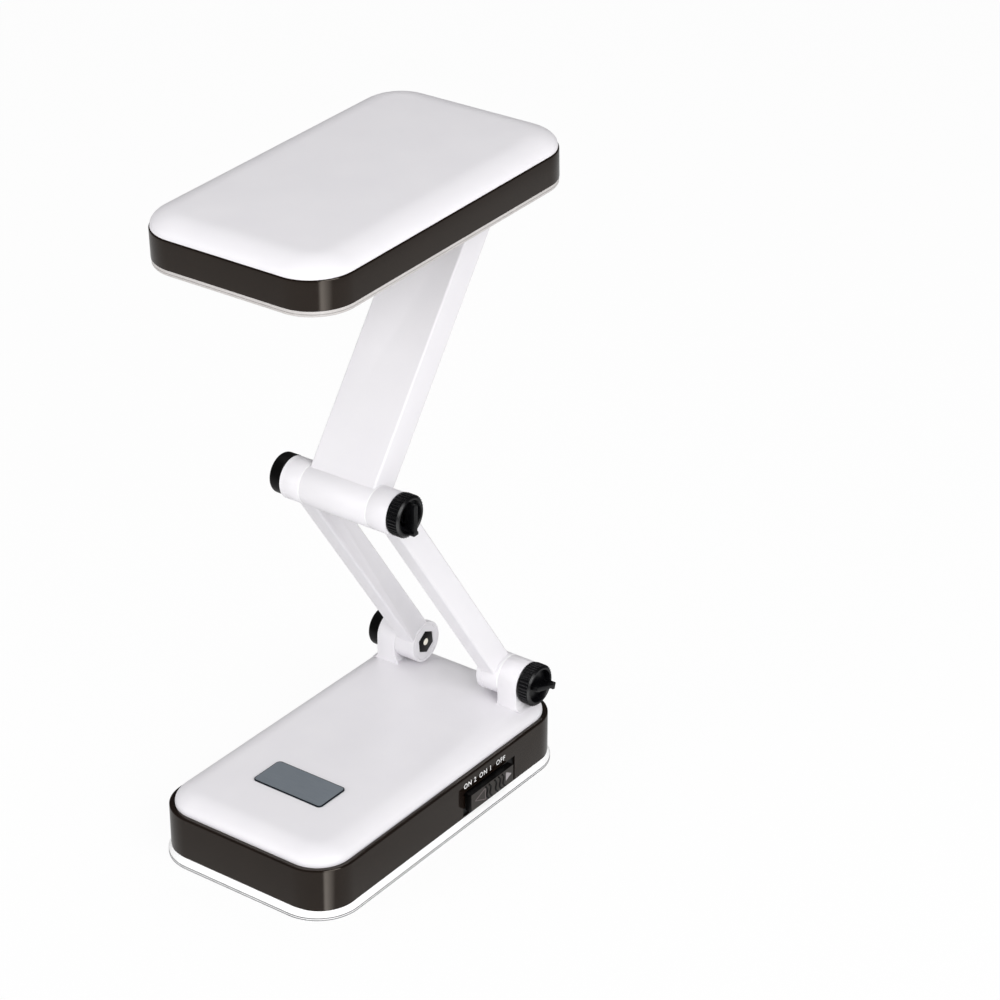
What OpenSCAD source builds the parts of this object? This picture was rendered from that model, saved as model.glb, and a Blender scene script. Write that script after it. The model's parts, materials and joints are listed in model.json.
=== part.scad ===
// Folding LED desk lamp: a base, a lower arm of two legs, an upper arm panel and a flat LED head,
// joined by three friction hinges that are tightened with knobs.
// X runs along the hinge axes, +Y points to the hinge end of the base, +Z is up.
// The origin is the centre of the base's footprint, on the surface that it stands on.

/* [Base] */
// Width of the base band
base_w = 92; // [86:1:100]
// Length of the base band
base_l = 165; // [158:1:180]
// Corner radius of the base band
base_corner_r = 18.5; // [14:0.5:24]
// Height of the gloss band round the base
base_band_h = 21.4; // [20:0.2:26]
// Rise of the domed top over the band
base_dome_h = 4.7; // [4:0.1:7]
// Distance over which the domed top rolls off to the band
base_roll = 11.5; // [8:0.5:14]
// Height of the bottom cover's rim under the band
cover_h = 4.5; // [3.5:0.1:6]
// How far the bottom cover stands out past the band
cover_lip = 1.5; // [0.5:0.1:3]
// Height of the rubber feet under the cover
foot_h = 1; // [0.6:0.1:3]
// Radius of a rubber foot
foot_r = 5.5; // [4:0.1:7]

/* [Switch] */
// Length of the sliding switch cap
slider_l = 30; // [24:0.5:36]
// Height of the sliding switch cap
slider_h = 9.4; // [8:0.1:12]
// How far the switch cap stands out of the band
slider_out = 3.5; // [2:0.1:5]
// Travel of the switch cap from off to full light
slider_travel = 4.5; // [3:0.1:6]
// Centre of the switch cap along the base when off
slider_y = 25.2; // [15:0.1:30]

/* [Battery box] */
// Length of a battery cell, with its nub
cell_l = 50; // [49:0.1:50.5]
// Radius of a battery cell
cell_r = 7.1; // [6.9:0.05:7.2]
// Centre of the battery box along the base
box_y = -18; // [-22:1:-14]

/* [Base hinge] */
// Distance from the base hinge axis to the back end of the base band
base_hinge_inset = 15.7; // [13:0.1:22]
// Radius of the hinge barrels and ears
barrel_r = 9.1; // [8:0.1:9.5]
// Gap between the folding barrels and the top of the base
hinge_lift = 0.7; // [0.4:0.1:2]
// Width of one base ear
ear_w = 9.8; // [8:0.1:12]
// Radius of the base and middle hinge bolts
bolt_r = 2.5; // [2:0.1:2.8]

/* [Lower arm] */
// Length of a leg between its hinge axes
leg_l = 133.6; // [130:0.2:150]
// Rise of the legs over the table as the lamp is set up
leg_rise = 56.1; // [40:0.1:80]
// Width of one leg
leg_w = 9; // [8:0.1:10]
// Depth of a leg on the side that faces the base when folded
leg_front = 5.2; // [4:0.1:6]
// Depth of a leg on its other side
leg_back = 6.8; // [5:0.1:8]

/* [Upper arm] */
// Width of the upper arm panel
panel_w = 33; // [30:0.5:34]
// Length of the upper arm between its hinge axes
panel_l = 134; // [128:0.5:136]
// Rise of the upper arm over the table as the lamp is set up
panel_rise = 54.3; // [30:0.1:80]
// Thickness of the upper arm panel
panel_t = 13.8; // [12:0.1:15]
// Thickness of the upper arm's walls
panel_wall = 1.6; // [1.2:0.1:2.2]

/* [Head] */
// Width of the head band
head_w = 94; // [88:1:100]
// Length of the head band
head_l = 162; // [156:1:175]
// Corner radius of the head band
head_corner_r = 19; // [14:0.5:24]
// Height of the gloss band round the head
head_band_h = 12.5; // [11:0.1:15]
// Rise of the domed top over the head band
head_dome_h = 6.5; // [5:0.1:8]
// Distance over which the domed top rolls off to the head band
head_roll = 12.5; // [9:0.5:15]
// Height of the clear cover under the head band
lens_h = 2.1; // [1.8:0.1:3]
// Distance from the head hinge axis up to the band's lower edge
head_hinge_drop = 12.5; // [12:0.1:14]
// Distance from the head hinge axis to the head's back end
head_overhang = 16.2; // [14:0.1:24]
// Pitch of the head as the lamp is set up
head_pitch = 2; // [-10:0.5:20]

/* [LEDs] */
// Number of LED columns across the head
led_columns = 3; // [2:1:3]
// Number of LEDs in a column
led_rows = 8; // [4:1:8]
// Distance between LED columns
led_pitch_x = 24; // [16:1:26]
// Distance between LEDs in a column
led_pitch_y = 14; // [8:0.5:14]
// Radius of an LED
led_r = 2.4; // [1.5:0.1:2.5]

/* [Knobs] */
// Radius over the ribs of a knob's rim
knob_r = 9.5; // [8.5:0.1:9.8]
// Width of a knob's rim
knob_w = 6.2; // [5.8:0.1:8]
// Thickness of the finger fin across a knob
fin_t = 3.8; // [3:0.1:5]
// How far the fin stands out past the rim
fin_out = 3.5; // [2:0.1:5]
// Grooves round a knob's rim
knob_grooves = 42; // [24:1:48]

/* [Fits] */
// Wall thickness of the base and head casings
wall = 2; // [1.6:0.1:2.4]
// Gap between casing parts that slip into each other
slip_gap = 0.15; // [0.1:0.05:0.3]
// Radial clearance of a bolt in its hinge bores
bolt_gap = 0.05; // [0.02:0.01:0.1]
// Clearance beside and under moving parts
run_gap = 0.3; // [0.2:0.05:0.5]

/* [Hidden] */
$fn = 48;
tiny = 0.01;

// Heights in the base
cover_z = foot_h;
floor_t = 2.2;
floor_z = cover_z + floor_t;
band_z = cover_z + cover_h;
shell_z = band_z + base_band_h;
base_top_z = shell_z + base_dome_h;
base_shell_inset = 1.6;
base_shoulder = 1.6;
dome_lip = 0.6;
skirt_t = 1.6;
skirt_h = 3;
foot_sink = 0.8;
foot_x = base_w / 2 - 13;
foot_y = base_l / 2 - 13;

// Screws that hold the base together, each in a boss of the cover under a post of the top shell
case_screw_r = 1.4;
screw_head_r = 2.8;
screw_head_h = 1.8;
case_screw_l = 14;
boss_r = 4.2;
boss_h = 3;
case_screw_x = base_w / 2 - 10;
case_screw_y = base_l / 2 - 32;
post_top_z = base_top_z - wall;

// Ribs under the domed tops
rib_t = 1.2;
rib_h = 2.4;
base_rib_x = 21;
base_rib_y = 48;
head_rib_x = 20;
head_rib_y = 52;

// Badge
badge_w = 36;
badge_l = 17.5;
badge_y = -42.2;
badge_t = 0.5;
badge_sink = 0.3;
badge_corner_r = 2;

// Battery box
cell_gap = 0.4;
cell_pitch = 2 * cell_r + cell_gap;
contact_t = 0.5;
contact_spring_l = 5;
contact_spring_r = 3.4;
contact_w = 10;
nub_l = 1;
nub_r = 2.7;
box_inner_w = cell_l + contact_spring_l + 2 * contact_t;
box_inner_l = 3 * cell_pitch + 1;
box_wall = 1.5;
door_t = 1.2;
door_margin = 2.5;
door_corner_r = 3;
door_notch_r = 5;
cell_z = cover_z + door_t + run_gap + cell_r;
box_roof_z = cell_z + cell_r + 0.05;

// Switch
slider_z = band_z + 3.8 + slider_h / 2;
slot_top = band_z + 11.5;
slot_bottom_gap = 0.5;
slot_end = 0.4;
slot_front = slider_y - slider_l / 2 - slider_travel - slot_end;
slot_back = slider_y + slider_l / 2 + slot_end;
flange_t = 1.2;
ridge_places = [-5.6, -3.4, 2.2, 4.6, 7];
ridge_w = 0.8;
ridge_bow = 1.1;
flange_x = base_w / 2 - wall - run_gap - flange_t;
switch_wall_x = flange_x - run_gap;
switch_wall_t = 1.6;
stem_l = 5;
stem_h = 3;
stem_z = band_z + 8;
switch_body_l = 19;
switch_body_h = 7;
switch_body_t = 5.5;
board_t = 1.6;
board_w = 54;
board_l = 30;
board_y = 32;
board_z = 13;
chip = [12, 8, 2];
capacitor_r = 4;
capacitor_h = 7;

// Hinge stack along X, from the middle outwards
bore_r = bolt_r + bolt_gap;
washer_t = 0.6;
mid_barrel_x = panel_w / 2 + 0.4;
ring_x = mid_barrel_x + washer_t;
leg_out_x = ring_x + leg_w;
base_barrel_w = 10.2;
base_barrel_out_x = ring_x + base_barrel_w;
ear_x = base_barrel_out_x + washer_t;
ring_end_w = 1;
ring_end_x = leg_out_x + ring_end_w;
ear_out_x = ear_x + ear_w;
base_knob_x = ear_out_x + run_gap;
mid_knob_x = ring_end_x + run_gap;
base_hinge_y = base_l / 2 - base_hinge_inset;
base_hinge_z = base_top_z + barrel_r + hinge_lift;
washer_r = barrel_r - 1;
barrel_edge = 1.5;
arm_edge = 1;

// Fillets at the feet of the ears
outer_flare = 4;
outer_flare_sink = 2.4;
inner_flare = 2;

// Hexagon nuts and bolt heads, as across-flats sizes
hex_flats = 3.2 * bolt_r;
hex_gap = 0.1;
nut_t = 4;
bolt_head_t = 3;

// Knobs
knob_collar = 1.1;
knob_chamfer = 1;
knob_floor = 0.5;
knob_dish_r = knob_r - 2.4;
knob_groove_r = 0.35;
fin_tail = 4.6;
fin_nose = 8.6;
fin_taper = 3;
fin_tip = 1.2;
base_fin_angle = -18;
mid_fin_angle = -90;

// Smooth caps on the left ends of the hinges
cap_w = 5.6;
cap_step = 0.9;

// Hinge axes as the lamp is set up
mid_y = base_hinge_y - leg_l * cos(leg_rise);
mid_z = base_hinge_z + leg_l * sin(leg_rise);
head_y = mid_y + panel_l * cos(panel_rise);
head_z = mid_z + panel_l * sin(panel_rise);

// Upper arm, in its own frame: Y runs from the middle hinge to the head hinge, +Z is its face
panel_face = panel_t / 2;
panel_back = -panel_t / 2;
channel_start = barrel_r + 5;
channel_end = panel_l - barrel_r - 5;
cover_plate_t = 1.5;
cover_ledge = 1.2;
arm_screw_x = panel_w / 2 - 6.5;
arm_screw_inset = 7;
arm_screw_r = 1.1;
arm_screw_head_r = 2;
arm_screw_head_t = 1.1;
arm_boss_r = 3;
top_barrel_x = 11;
lug_t = 5.5;
lug_x = top_barrel_x + 0.5;
lug_out_x = lug_x + lug_t;
lug_r = 8.4;

// Head, in its own frame: the hinge axis is the X axis, +Z is the head's top
head_mid_y = head_overhang - head_l / 2;
lens_z = head_hinge_drop - lens_h;
lens_inset = 1.2;
lens_t = 1.5;
lens_lip_h = 2.5;
lens_lip_t = 1.4;
plate_z = head_hinge_drop + lens_lip_h;
plate_t = 1.4;
led_base_z = plate_z + 3;
led_hole_gap = 0.3;
led_dome_z = lens_z + lens_t + led_r + 0.6;
led_mid_y = -lug_r - 9 - (led_rows - 1) * led_pitch_y / 2;
led_board_w = (led_columns - 1) * led_pitch_x + 14;
led_board_l = (led_rows - 1) * led_pitch_y + 12;
head_shell_z = head_hinge_drop + head_band_h;
head_top_z = head_shell_z + head_dome_h;
head_shell_inset = 0.5;
head_shoulder = 0.6;
head_post_r = 3.4;
head_screw_x = head_w / 2 - 10.5;
head_screw_y = head_l / 2 - 20;
head_screw_l = 8;
bracket_w = 44;
bracket_l = 21;
bracket_t = 2.3;
bracket_screw_x = 19.5;
bracket_screw_y = 7.5;
head_bolt_r = 2;
head_bore_r = head_bolt_r + bolt_gap;
head_bolt_head_r = 3.6;
head_bolt_sink = 2.6;
head_hex_flats = 7;

// ---- Shared shapes ----

module rounded_rect(w, l, r) {
    square([w - 2 * r, l], center = true);
    square([w, l - 2 * r], center = true);
    for (x = [-1, 1], y = [-1, 1])
        translate([x * (w / 2 - r), y * (l / 2 - r)]) circle(r);
}

module rounded_plate(w, l, r, h) {
    linear_extrude(h) rounded_rect(w, l, r);
}

module rounded_frame(w, l, r, h, t) {
    linear_extrude(h) difference() {
        rounded_rect(w, l, r);
        rounded_rect(w - 2 * t, l - 2 * t, r - t);
    }
}

// Radius of an arc that starts level and drops by d over a distance of s
function roll_r(s, d) = (s * s + d * d) / (2 * d);

// Half of a lid's cross-section: reach r, height h, top rolled off over s by an arc of radius arc_r
module lid_edge(r, h, s, arc_r) {
    lip = h - arc_r + sqrt(arc_r * arc_r - s * s);
    square([r - s, h]);
    if (lip > 0) square([r, lip]);
    intersection() {
        translate([r - s, h - arc_r]) circle(arc_r);
        square([r, h]);
    }
}

module lid_span(r, h, s, arc_r) {
    lid_edge(r, h, s, arc_r);
    mirror([1, 0]) lid_edge(r, h, s, arc_r);
}

// A closed lid: a rounded rectangle whose flat top rolls off all the way round
module lid(w, l, r, h, s, arc_r) {
    for (i = [0:3])
        translate([(i == 0 || i == 3 ? 1 : -1) * (w / 2 - r), (i < 2 ? 1 : -1) * (l / 2 - r), 0])
            rotate(90 * i) rotate_extrude(angle = 90) lid_edge(r, h, s, arc_r);
    rotate([90, 0, 0]) linear_extrude(l - 2 * r, center = true) lid_span(w / 2, h, s, arc_r);
    rotate([90, 0, 90]) linear_extrude(w - 2 * r, center = true) lid_span(l / 2, h, s, arc_r);
}

// A hollow domed lid with an even wall
module dome(w, l, r, h, s) {
    arc_r = roll_r(s, h - dome_lip);
    difference() {
        lid(w, l, r, h, s, arc_r);
        translate([0, 0, -tiny])
            lid(w - 2 * wall, l - 2 * wall, r - wall, h - wall + tiny, s - wall, arc_r - wall);
    }
}

// A casing's band: an upright wall with a rounded shoulder at its top
module band(w, l, r, h, shoulder) {
    difference() {
        lid(w, l, r, h, shoulder, shoulder);
        translate([0, 0, -1]) rounded_plate(w - 2 * wall, l - 2 * wall, r - wall, h + 2);
    }
}

// Stiffening ribs that hang from z = 0: two along Y and two across
module roof_ribs(x, y) {
    translate([0, 0, -rib_h]) linear_extrude(rib_h + tiny) {
        for (side = [-1, 1]) {
            translate([side * x - rib_t / 2, -y]) square([rib_t, 2 * y]);
            translate([-x, side * y - rib_t / 2]) square([2 * x, rib_t]);
        }
    }
}

// A bar along Y from y = 0 with rounded long edges
module bar_y(x0, x1, z0, z1, l, edge) {
    translate([(x0 + x1) / 2, l, (z0 + z1) / 2]) rotate([90, 0, 0]) linear_extrude(l)
        rounded_rect(x1 - x0, z1 - z0, edge);
}

// Extrudes a profile drawn in the Y-Z plane along X
module along_x(x0, x1) {
    translate([x0, 0, 0]) rotate([90, 0, 90]) linear_extrude(x1 - x0) children();
}

module rod_x(x0, x1, r) {
    translate([x0, 0, 0]) rotate([0, 90, 0]) cylinder(r = r, h = x1 - x0);
}

// A rod on the X axis whose end at x0 has a rounded edge
module soft_rod_x(x0, x1, r, edge) {
    translate([x0, 0, 0]) rotate([0, 90, 0]) rotate_extrude() {
        translate([0, edge]) square([r, x1 - x0 - edge]);
        square([r - edge, edge + tiny]);
        intersection() {
            translate([r - edge, edge]) circle(edge);
            square([r, x1 - x0]);
        }
    }
}

module hex_x(x0, x1, flats) {
    translate([x0, 0, 0]) rotate([0, 90, 0]) cylinder(r = flats / 2 / cos(30), h = x1 - x0, $fn = 6);
}

module ring_x(x0, x1, r, hole) {
    difference() {
        rod_x(x0, x1, r);
        rod_x(x0 - 1, x1 + 1, hole);
    }
}

module both_sides() {
    children();
    mirror([1, 0, 0]) children();
}

module four_corners(x, y) {
    for (sx = [-1, 1], sy = [-1, 1]) translate([sx * x, sy * y, 0]) children();
}

module at_base_hinge() {
    translate([0, base_hinge_y, base_hinge_z]) children();
}

// The legs' frame: Y runs up a leg from the base hinge, +Z is the side that folds onto the base
module at_lower_arm() {
    at_base_hinge() rotate([180 - leg_rise, 0, 0]) children();
}

module at_mid_hinge() {
    translate([0, mid_y, mid_z]) children();
}

module at_upper_arm() {
    at_mid_hinge() rotate([panel_rise, 0, 0]) children();
}

module at_head() {
    translate([0, head_y, head_z]) rotate([head_pitch, 0, 0]) children();
}

module pan_screw(head_r, head_h, shank_r, length) {
    translate([0, 0, -tiny]) cylinder(r = shank_r, h = length + tiny);
    translate([0, 0, -head_h]) cylinder(r = head_r, h = head_h);
}

// ---- Base ----

module base_bottom_cover() {
    cover_w = base_w + 2 * cover_lip;
    cover_l = base_l + 2 * cover_lip;
    cover_r = base_corner_r + cover_lip;
    door_w = box_inner_w + 2 * door_margin;
    door_l = box_inner_l + 2 * door_margin;
    color("gainsboro") difference() {
        union() {
            translate([0, 0, cover_z]) difference() {
                rounded_plate(cover_w, cover_l, cover_r, cover_h);
                translate([0, 0, floor_t])
                    rounded_plate(base_w - 2 * wall, base_l - 2 * wall, base_corner_r - wall, cover_h);
            }
            translate([0, 0, floor_z - tiny]) four_corners(case_screw_x, case_screw_y)
                cylinder(r = boss_r, h = boss_h + tiny);
            translate([0, box_y, cover_z]) linear_extrude(box_roof_z + box_wall - cover_z)
                square([box_inner_w + 2 * box_wall, box_inner_l + 2 * box_wall], center = true);
            switch_wall();
            board_posts();
        }
        translate([0, box_y, cover_z - 1]) linear_extrude(box_roof_z - cover_z + 1)
            square([box_inner_w, box_inner_l], center = true);
        translate([0, box_y, cover_z - tiny])
            rounded_plate(door_w + 2 * run_gap, door_l + 2 * run_gap, door_corner_r + run_gap,
                          door_t + tiny);
        four_corners(foot_x, foot_y) cylinder(r = foot_r, h = cover_z + foot_sink);
        four_corners(case_screw_x, case_screw_y) {
            cylinder(r = case_screw_r, h = base_top_z);
            cylinder(r = screw_head_r + 0.2, h = cover_z + screw_head_h + 0.5);
        }
        // Way for the switch cap's stem
        translate([switch_wall_x - switch_wall_t - 1, slider_y - stem_l / 2 - slider_travel - run_gap,
                   stem_z - stem_h / 2 - run_gap])
            cube([switch_wall_t + 2, stem_l + slider_travel + 2 * run_gap, stem_h + 2 * run_gap]);
    }
}

// Upright wall inside the band, which backs the switch slot
module switch_wall() {
    translate([switch_wall_x - switch_wall_t, slot_front - 3, floor_z - tiny])
        cube([switch_wall_t, slot_back - slot_front + 6, slot_top + 1.5 - floor_z + tiny]);
}

module board_posts() {
    translate([0, board_y, floor_z - tiny]) four_corners(board_w / 2 - 4, board_l / 2 - 4)
        cylinder(r = 2.5, h = board_z - floor_z + tiny);
}

module base_band() {
    color("black") difference() {
        translate([0, 0, band_z]) band(base_w, base_l, base_corner_r, base_band_h, base_shoulder);
        translate([base_w / 2 - wall - 1, slot_front, band_z - 1])
            cube([wall + 2, slot_back - slot_front, slot_top - band_z + 1]);
    }
}

module base_top_shell() {
    outer_w = base_w - 2 * base_shell_inset;
    outer_l = base_l - 2 * base_shell_inset;
    skirt_w = base_w - 2 * wall - 2 * slip_gap;
    skirt_l = base_l - 2 * wall - 2 * slip_gap;
    skirt_r = base_corner_r - wall - slip_gap;
    color("white") difference() {
        union() {
            translate([0, 0, shell_z])
                dome(outer_w, outer_l, base_corner_r - base_shell_inset, base_dome_h, base_roll);
            translate([0, 0, shell_z - skirt_h])
                rounded_frame(skirt_w, skirt_l, skirt_r, skirt_h + tiny, skirt_t);
            translate([0, 0, base_top_z - wall]) roof_ribs(base_rib_x, base_rib_y);
            four_corners(case_screw_x, case_screw_y) translate([0, 0, floor_z + boss_h])
                cylinder(r = boss_r, h = post_top_z - floor_z - boss_h + tiny);
            both_sides() {
                ear();
                ear_flares();
            }
        }
        at_base_hinge() rod_x(-base_w, base_w, bore_r);
        four_corners(case_screw_x, case_screw_y) translate([0, 0, floor_z])
            cylinder(r = case_screw_r, h = case_screw_l + 2);
        translate([0, badge_y, base_top_z - badge_sink])
            rounded_plate(badge_w, badge_l, badge_corner_r, badge_t);
    }
}

// Ear that carries a leg's barrel, with a round top; its foot runs down inside the dome
module ear() {
    foot_drop = base_hinge_z - shell_z;
    at_base_hinge() along_x(ear_x, ear_out_x) {
        circle(barrel_r);
        translate([-barrel_r, -foot_drop]) square([2 * barrel_r, foot_drop]);
    }
}

// Fillets along the front half of an ear's foot, cut clear of the knob and of the leg's barrel
module ear_flares() {
    flare(ear_out_x, outer_flare, base_top_z - outer_flare_sink, knob_r + run_gap);
    mirror([1, 0, 0]) flare(-ear_x, inner_flare, base_top_z - tiny, barrel_r + run_gap);
}

// Fillet of radius r that grows towards +X from an upright at x and stands on the level z
module flare(x, r, z, clear_r) {
    difference() {
        translate([0, base_hinge_y, 0]) rotate([90, 0, 0]) linear_extrude(barrel_r) difference() {
            translate([x - tiny, z - tiny]) square([r, r]);
            translate([x + r, z + r]) circle(r);
        }
        at_base_hinge() rod_x(x - 1, x + r + 1, clear_r);
    }
}

module rubber_feet() {
    color("dimgray") four_corners(foot_x, foot_y) cylinder(r = foot_r, h = cover_z + foot_sink);
}

module base_screws() {
    color("silver") four_corners(case_screw_x, case_screw_y)
        translate([0, 0, cover_z + screw_head_h + 0.5])
            pan_screw(screw_head_r, screw_head_h, case_screw_r, case_screw_l);
}

module badge_plate() {
    color("slategray") translate([0, badge_y, base_top_z - badge_sink])
        rounded_plate(badge_w, badge_l, badge_corner_r, badge_t);
}

// Door under the battery box, with a finger notch at its front edge
module battery_door() {
    door_w = box_inner_w + 2 * door_margin;
    door_l = box_inner_l + 2 * door_margin;
    color("gainsboro") translate([0, box_y, cover_z]) difference() {
        rounded_plate(door_w, door_l, door_corner_r, door_t);
        translate([0, -door_l / 2, -1]) cylinder(r = door_notch_r, h = door_t + 2);
    }
}

module cell_places() {
    for (i = [-1:1]) translate([0, box_y + i * cell_pitch, cell_z])
        mirror([i == 0 ? 1 : 0, 0, 0]) children();
}

module battery_cells() {
    nub_end = box_inner_w / 2 - contact_t;
    color("darkgreen") cell_places() {
        rod_x(nub_end - cell_l, nub_end - nub_l, cell_r);
        rod_x(nub_end - nub_l - tiny, nub_end, nub_r);
    }
}

// A flat contact at each cell's nub and a coil, shown as a drum, at its other end
module battery_contacts() {
    end_x = box_inner_w / 2;
    color("silver") cell_places() {
        translate([end_x - contact_t, -contact_w / 2, -cell_r + 1])
            cube([contact_t, contact_w, 2 * cell_r - 2]);
        translate([-end_x, -contact_w / 2, -cell_r + 1])
            cube([contact_t, contact_w, 2 * cell_r - 2]);
        rod_x(-end_x + contact_t - tiny, -end_x + contact_t + contact_spring_l, contact_spring_r);
    }
}

module control_board() {
    color("green") translate([-board_w / 2, board_y - board_l / 2, board_z])
        cube([board_w, board_l, board_t]);
    color("black") translate([-chip.x / 2, board_y - chip.y / 2, board_z + board_t - tiny]) cube(chip);
    color("black") translate([chip.x, board_y - chip.y, board_z + board_t - tiny])
        cylinder(r = capacitor_r, h = capacitor_h);
}

// Slide switch behind the wall: a metal can with a way for the cap's stem
module slide_switch() {
    can_x = switch_wall_x - switch_wall_t;
    way_y = slider_y - stem_l / 2 - slider_travel - run_gap;
    color("silver") difference() {
        translate([can_x - switch_body_t, slider_y - slider_travel / 2 - switch_body_l / 2,
                   stem_z - switch_body_h / 2])
            cube([switch_body_t, switch_body_l, switch_body_h]);
        translate([can_x - 3, way_y, stem_z - stem_h / 2 - run_gap])
            cube([4, stem_l + slider_travel + 2 * run_gap, stem_h + 2 * run_gap]);
    }
}

// Switch cap: a face outside the band, a block in the slot and a flange behind it
module switch_slider() {
    face_x = base_w / 2 + run_gap;
    stem_x = switch_wall_x - switch_wall_t - 2.5;
    block_z = band_z + slot_bottom_gap;
    block_h = slot_top - run_gap - block_z;
    flange_l = slider_l + 2 * slider_travel + 2;
    color("black") {
        translate([face_x, slider_y, slider_z]) slider_face();
        translate([flange_x, slider_y - slider_l / 2, block_z])
            cube([face_x - flange_x + tiny, slider_l, block_h]);
        translate([flange_x, slider_y - flange_l / 2, block_z]) cube([flange_t, flange_l, block_h + 1]);
        translate([stem_x, slider_y - stem_l / 2, stem_z - stem_h / 2])
            cube([flange_x - stem_x + tiny, stem_l, stem_h]);
    }
}

// Outer face of the switch cap, with bowed finger ridges in a pair and a group of three
module slider_face() {
    ridge_r = roll_r(slider_h / 2, ridge_bow);
    face_t = slider_out - run_gap;
    along_x(0, face_t) square([slider_l, slider_h], center = true);
    for (y = ridge_places) along_x(face_t - tiny, face_t + run_gap)
        translate([y, 0]) intersection() {
            translate([-ridge_r, 0]) difference() {
                circle(ridge_r + ridge_w / 2);
                circle(ridge_r - ridge_w / 2);
            }
            translate([-ridge_bow - ridge_w, -slider_h / 2 + 1]) square([ridge_bow + 2 * ridge_w, slider_h - 2]);
        }
}

// ---- Lower arm ----

// One leg; end_w is how far its middle hinge ring stands out past its side
module leg(end_w) {
    nut_end = ring_x + nut_t;
    at_lower_arm() difference() {
        union() {
            soft_rod_x(ring_x, base_barrel_out_x, barrel_r, barrel_edge);
            bar_y(ring_x, leg_out_x, -leg_back, leg_front, leg_l, arm_edge);
            translate([0, leg_l, 0]) rod_x(ring_x, leg_out_x + end_w, barrel_r);
        }
        rod_x(0, base_barrel_out_x + 1, bore_r);
        hex_x(0, nut_end, hex_flats + 2 * hex_gap);
        // Shallow ring in the barrel's inner end
        ring_x(0, ring_x + 0.4, barrel_r - 2, hex_flats / 2 + 1.6);
        translate([0, leg_l, 0]) rod_x(0, leg_out_x + end_w + 1, bore_r);
    }
}

module left_leg() {
    color("white") mirror([1, 0, 0]) leg(0);
}

module right_leg() {
    color("white") leg(ring_end_w);
}

module base_hinge_nuts() {
    color("goldenrod") both_sides() at_lower_arm() difference() {
        hex_x(ring_x + 0.2, ring_x + nut_t, hex_flats);
        rod_x(0, leg_out_x, bore_r);
    }
}

module base_hinge_washers() {
    color("dimgray") both_sides() at_base_hinge() ring_x(base_barrel_out_x, ear_x, washer_r, bore_r + 0.2);
}

// ---- Knobs and bolts ----

// Knob on the X axis from x = 0: collar, ribbed rim with a chamfered face, dish and finger fin
module knob() {
    dish_x = bolt_head_t + knob_floor;
    difference() {
        union() {
            difference() {
                union() {
                    rod_x(0, knob_collar + tiny, knob_r - knob_groove_r);
                    intersection() {
                        along_x(knob_collar, knob_w) knob_rim();
                        rotate([0, 90, 0]) rotate_extrude() polygon([
                            [0, 0], [knob_r, 0], [knob_r, knob_w - knob_chamfer],
                            [knob_r - knob_chamfer, knob_w], [0, knob_w]
                        ]);
                    }
                }
                rod_x(dish_x, knob_w + 1, knob_dish_r);
            }
            along_x(dish_x - tiny, knob_w + fin_out) fin_outline();
        }
        hex_x(-1, bolt_head_t, hex_flats);
    }
}

module knob_rim() {
    difference() {
        circle(knob_r);
        for (i = [0:knob_grooves - 1])
            rotate(i * 360 / knob_grooves) translate([knob_r, 0]) circle(knob_groove_r, $fn = 16);
    }
}

// A bar with a round tail and a nose that tapers to the pointing end
module fin_outline() {
    translate([-fin_tail, 0]) circle(fin_t / 2);
    translate([-fin_tail, -fin_t / 2]) square([fin_tail + fin_nose - fin_taper, fin_t]);
    polygon([
        [fin_nose - fin_taper - tiny, -fin_t / 2], [fin_nose, -fin_tip / 2],
        [fin_nose, fin_tip / 2], [fin_nose - fin_taper - tiny, fin_t / 2]
    ]);
}

// Smooth cap over a bolt's head, on the X axis from x = 0
module end_cap() {
    difference() {
        union() {
            rod_x(0, cap_w - cap_step, barrel_r + 0.4);
            rod_x(0, cap_w, barrel_r - 0.6);
        }
        rod_x(-1, 1, bolt_r);
        hex_x(1 - tiny, 1 + bolt_head_t, hex_flats);
    }
}

module left_base_cap() {
    color("black") at_base_hinge() mirror([1, 0, 0]) translate([base_knob_x, 0, 0]) end_cap();
}

module right_base_knob() {
    color("black") at_base_hinge() translate([base_knob_x, 0, 0]) rotate([base_fin_angle, 0, 0])
        knob();
}

module left_base_bolt() {
    color("silver") at_base_hinge() mirror([1, 0, 0]) {
        hex_x(base_knob_x + 1, base_knob_x + 1 + bolt_head_t, hex_flats);
        rod_x(ring_x + 0.4, base_knob_x + 1 + tiny, bolt_r);
    }
}

// Bolt of the right base hinge: its head sits in the knob, its end in the leg's nut
module right_base_bolt() {
    color("silver") at_base_hinge() {
        rotate([base_fin_angle, 0, 0]) hex_x(base_knob_x, base_knob_x + bolt_head_t, hex_flats);
        rod_x(ring_x + 0.4, base_knob_x + tiny, bolt_r);
    }
}

// Bolt through the middle hinge: its head is held in the left cap
module mid_bolt() {
    color("silver") at_mid_hinge() {
        hex_x(-leg_out_x - 1 - bolt_head_t, -leg_out_x - 1, hex_flats);
        rod_x(-leg_out_x - 1 - tiny, mid_knob_x + bolt_head_t, bolt_r);
    }
}

module mid_cap() {
    color("black") at_mid_hinge() mirror([1, 0, 0]) translate([leg_out_x, 0, 0]) end_cap();
}

module mid_washers() {
    color("dimgray") both_sides() at_mid_hinge()
        ring_x(mid_barrel_x, ring_x, washer_r, bore_r + 0.2);
}

module mid_knob() {
    color("black") at_mid_hinge() translate([mid_knob_x, 0, 0]) rotate([mid_fin_angle, 0, 0])
        difference() {
            knob();
            rod_x(0, bolt_head_t + knob_floor / 2, bore_r);
        }
}

module mid_nut() {
    color("goldenrod") at_mid_hinge() rotate([mid_fin_angle, 0, 0]) difference() {
        hex_x(mid_knob_x, mid_knob_x + bolt_head_t, hex_flats);
        rod_x(0, mid_knob_x + bolt_head_t + 1, bore_r);
    }
}

// ---- Upper arm ----

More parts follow.
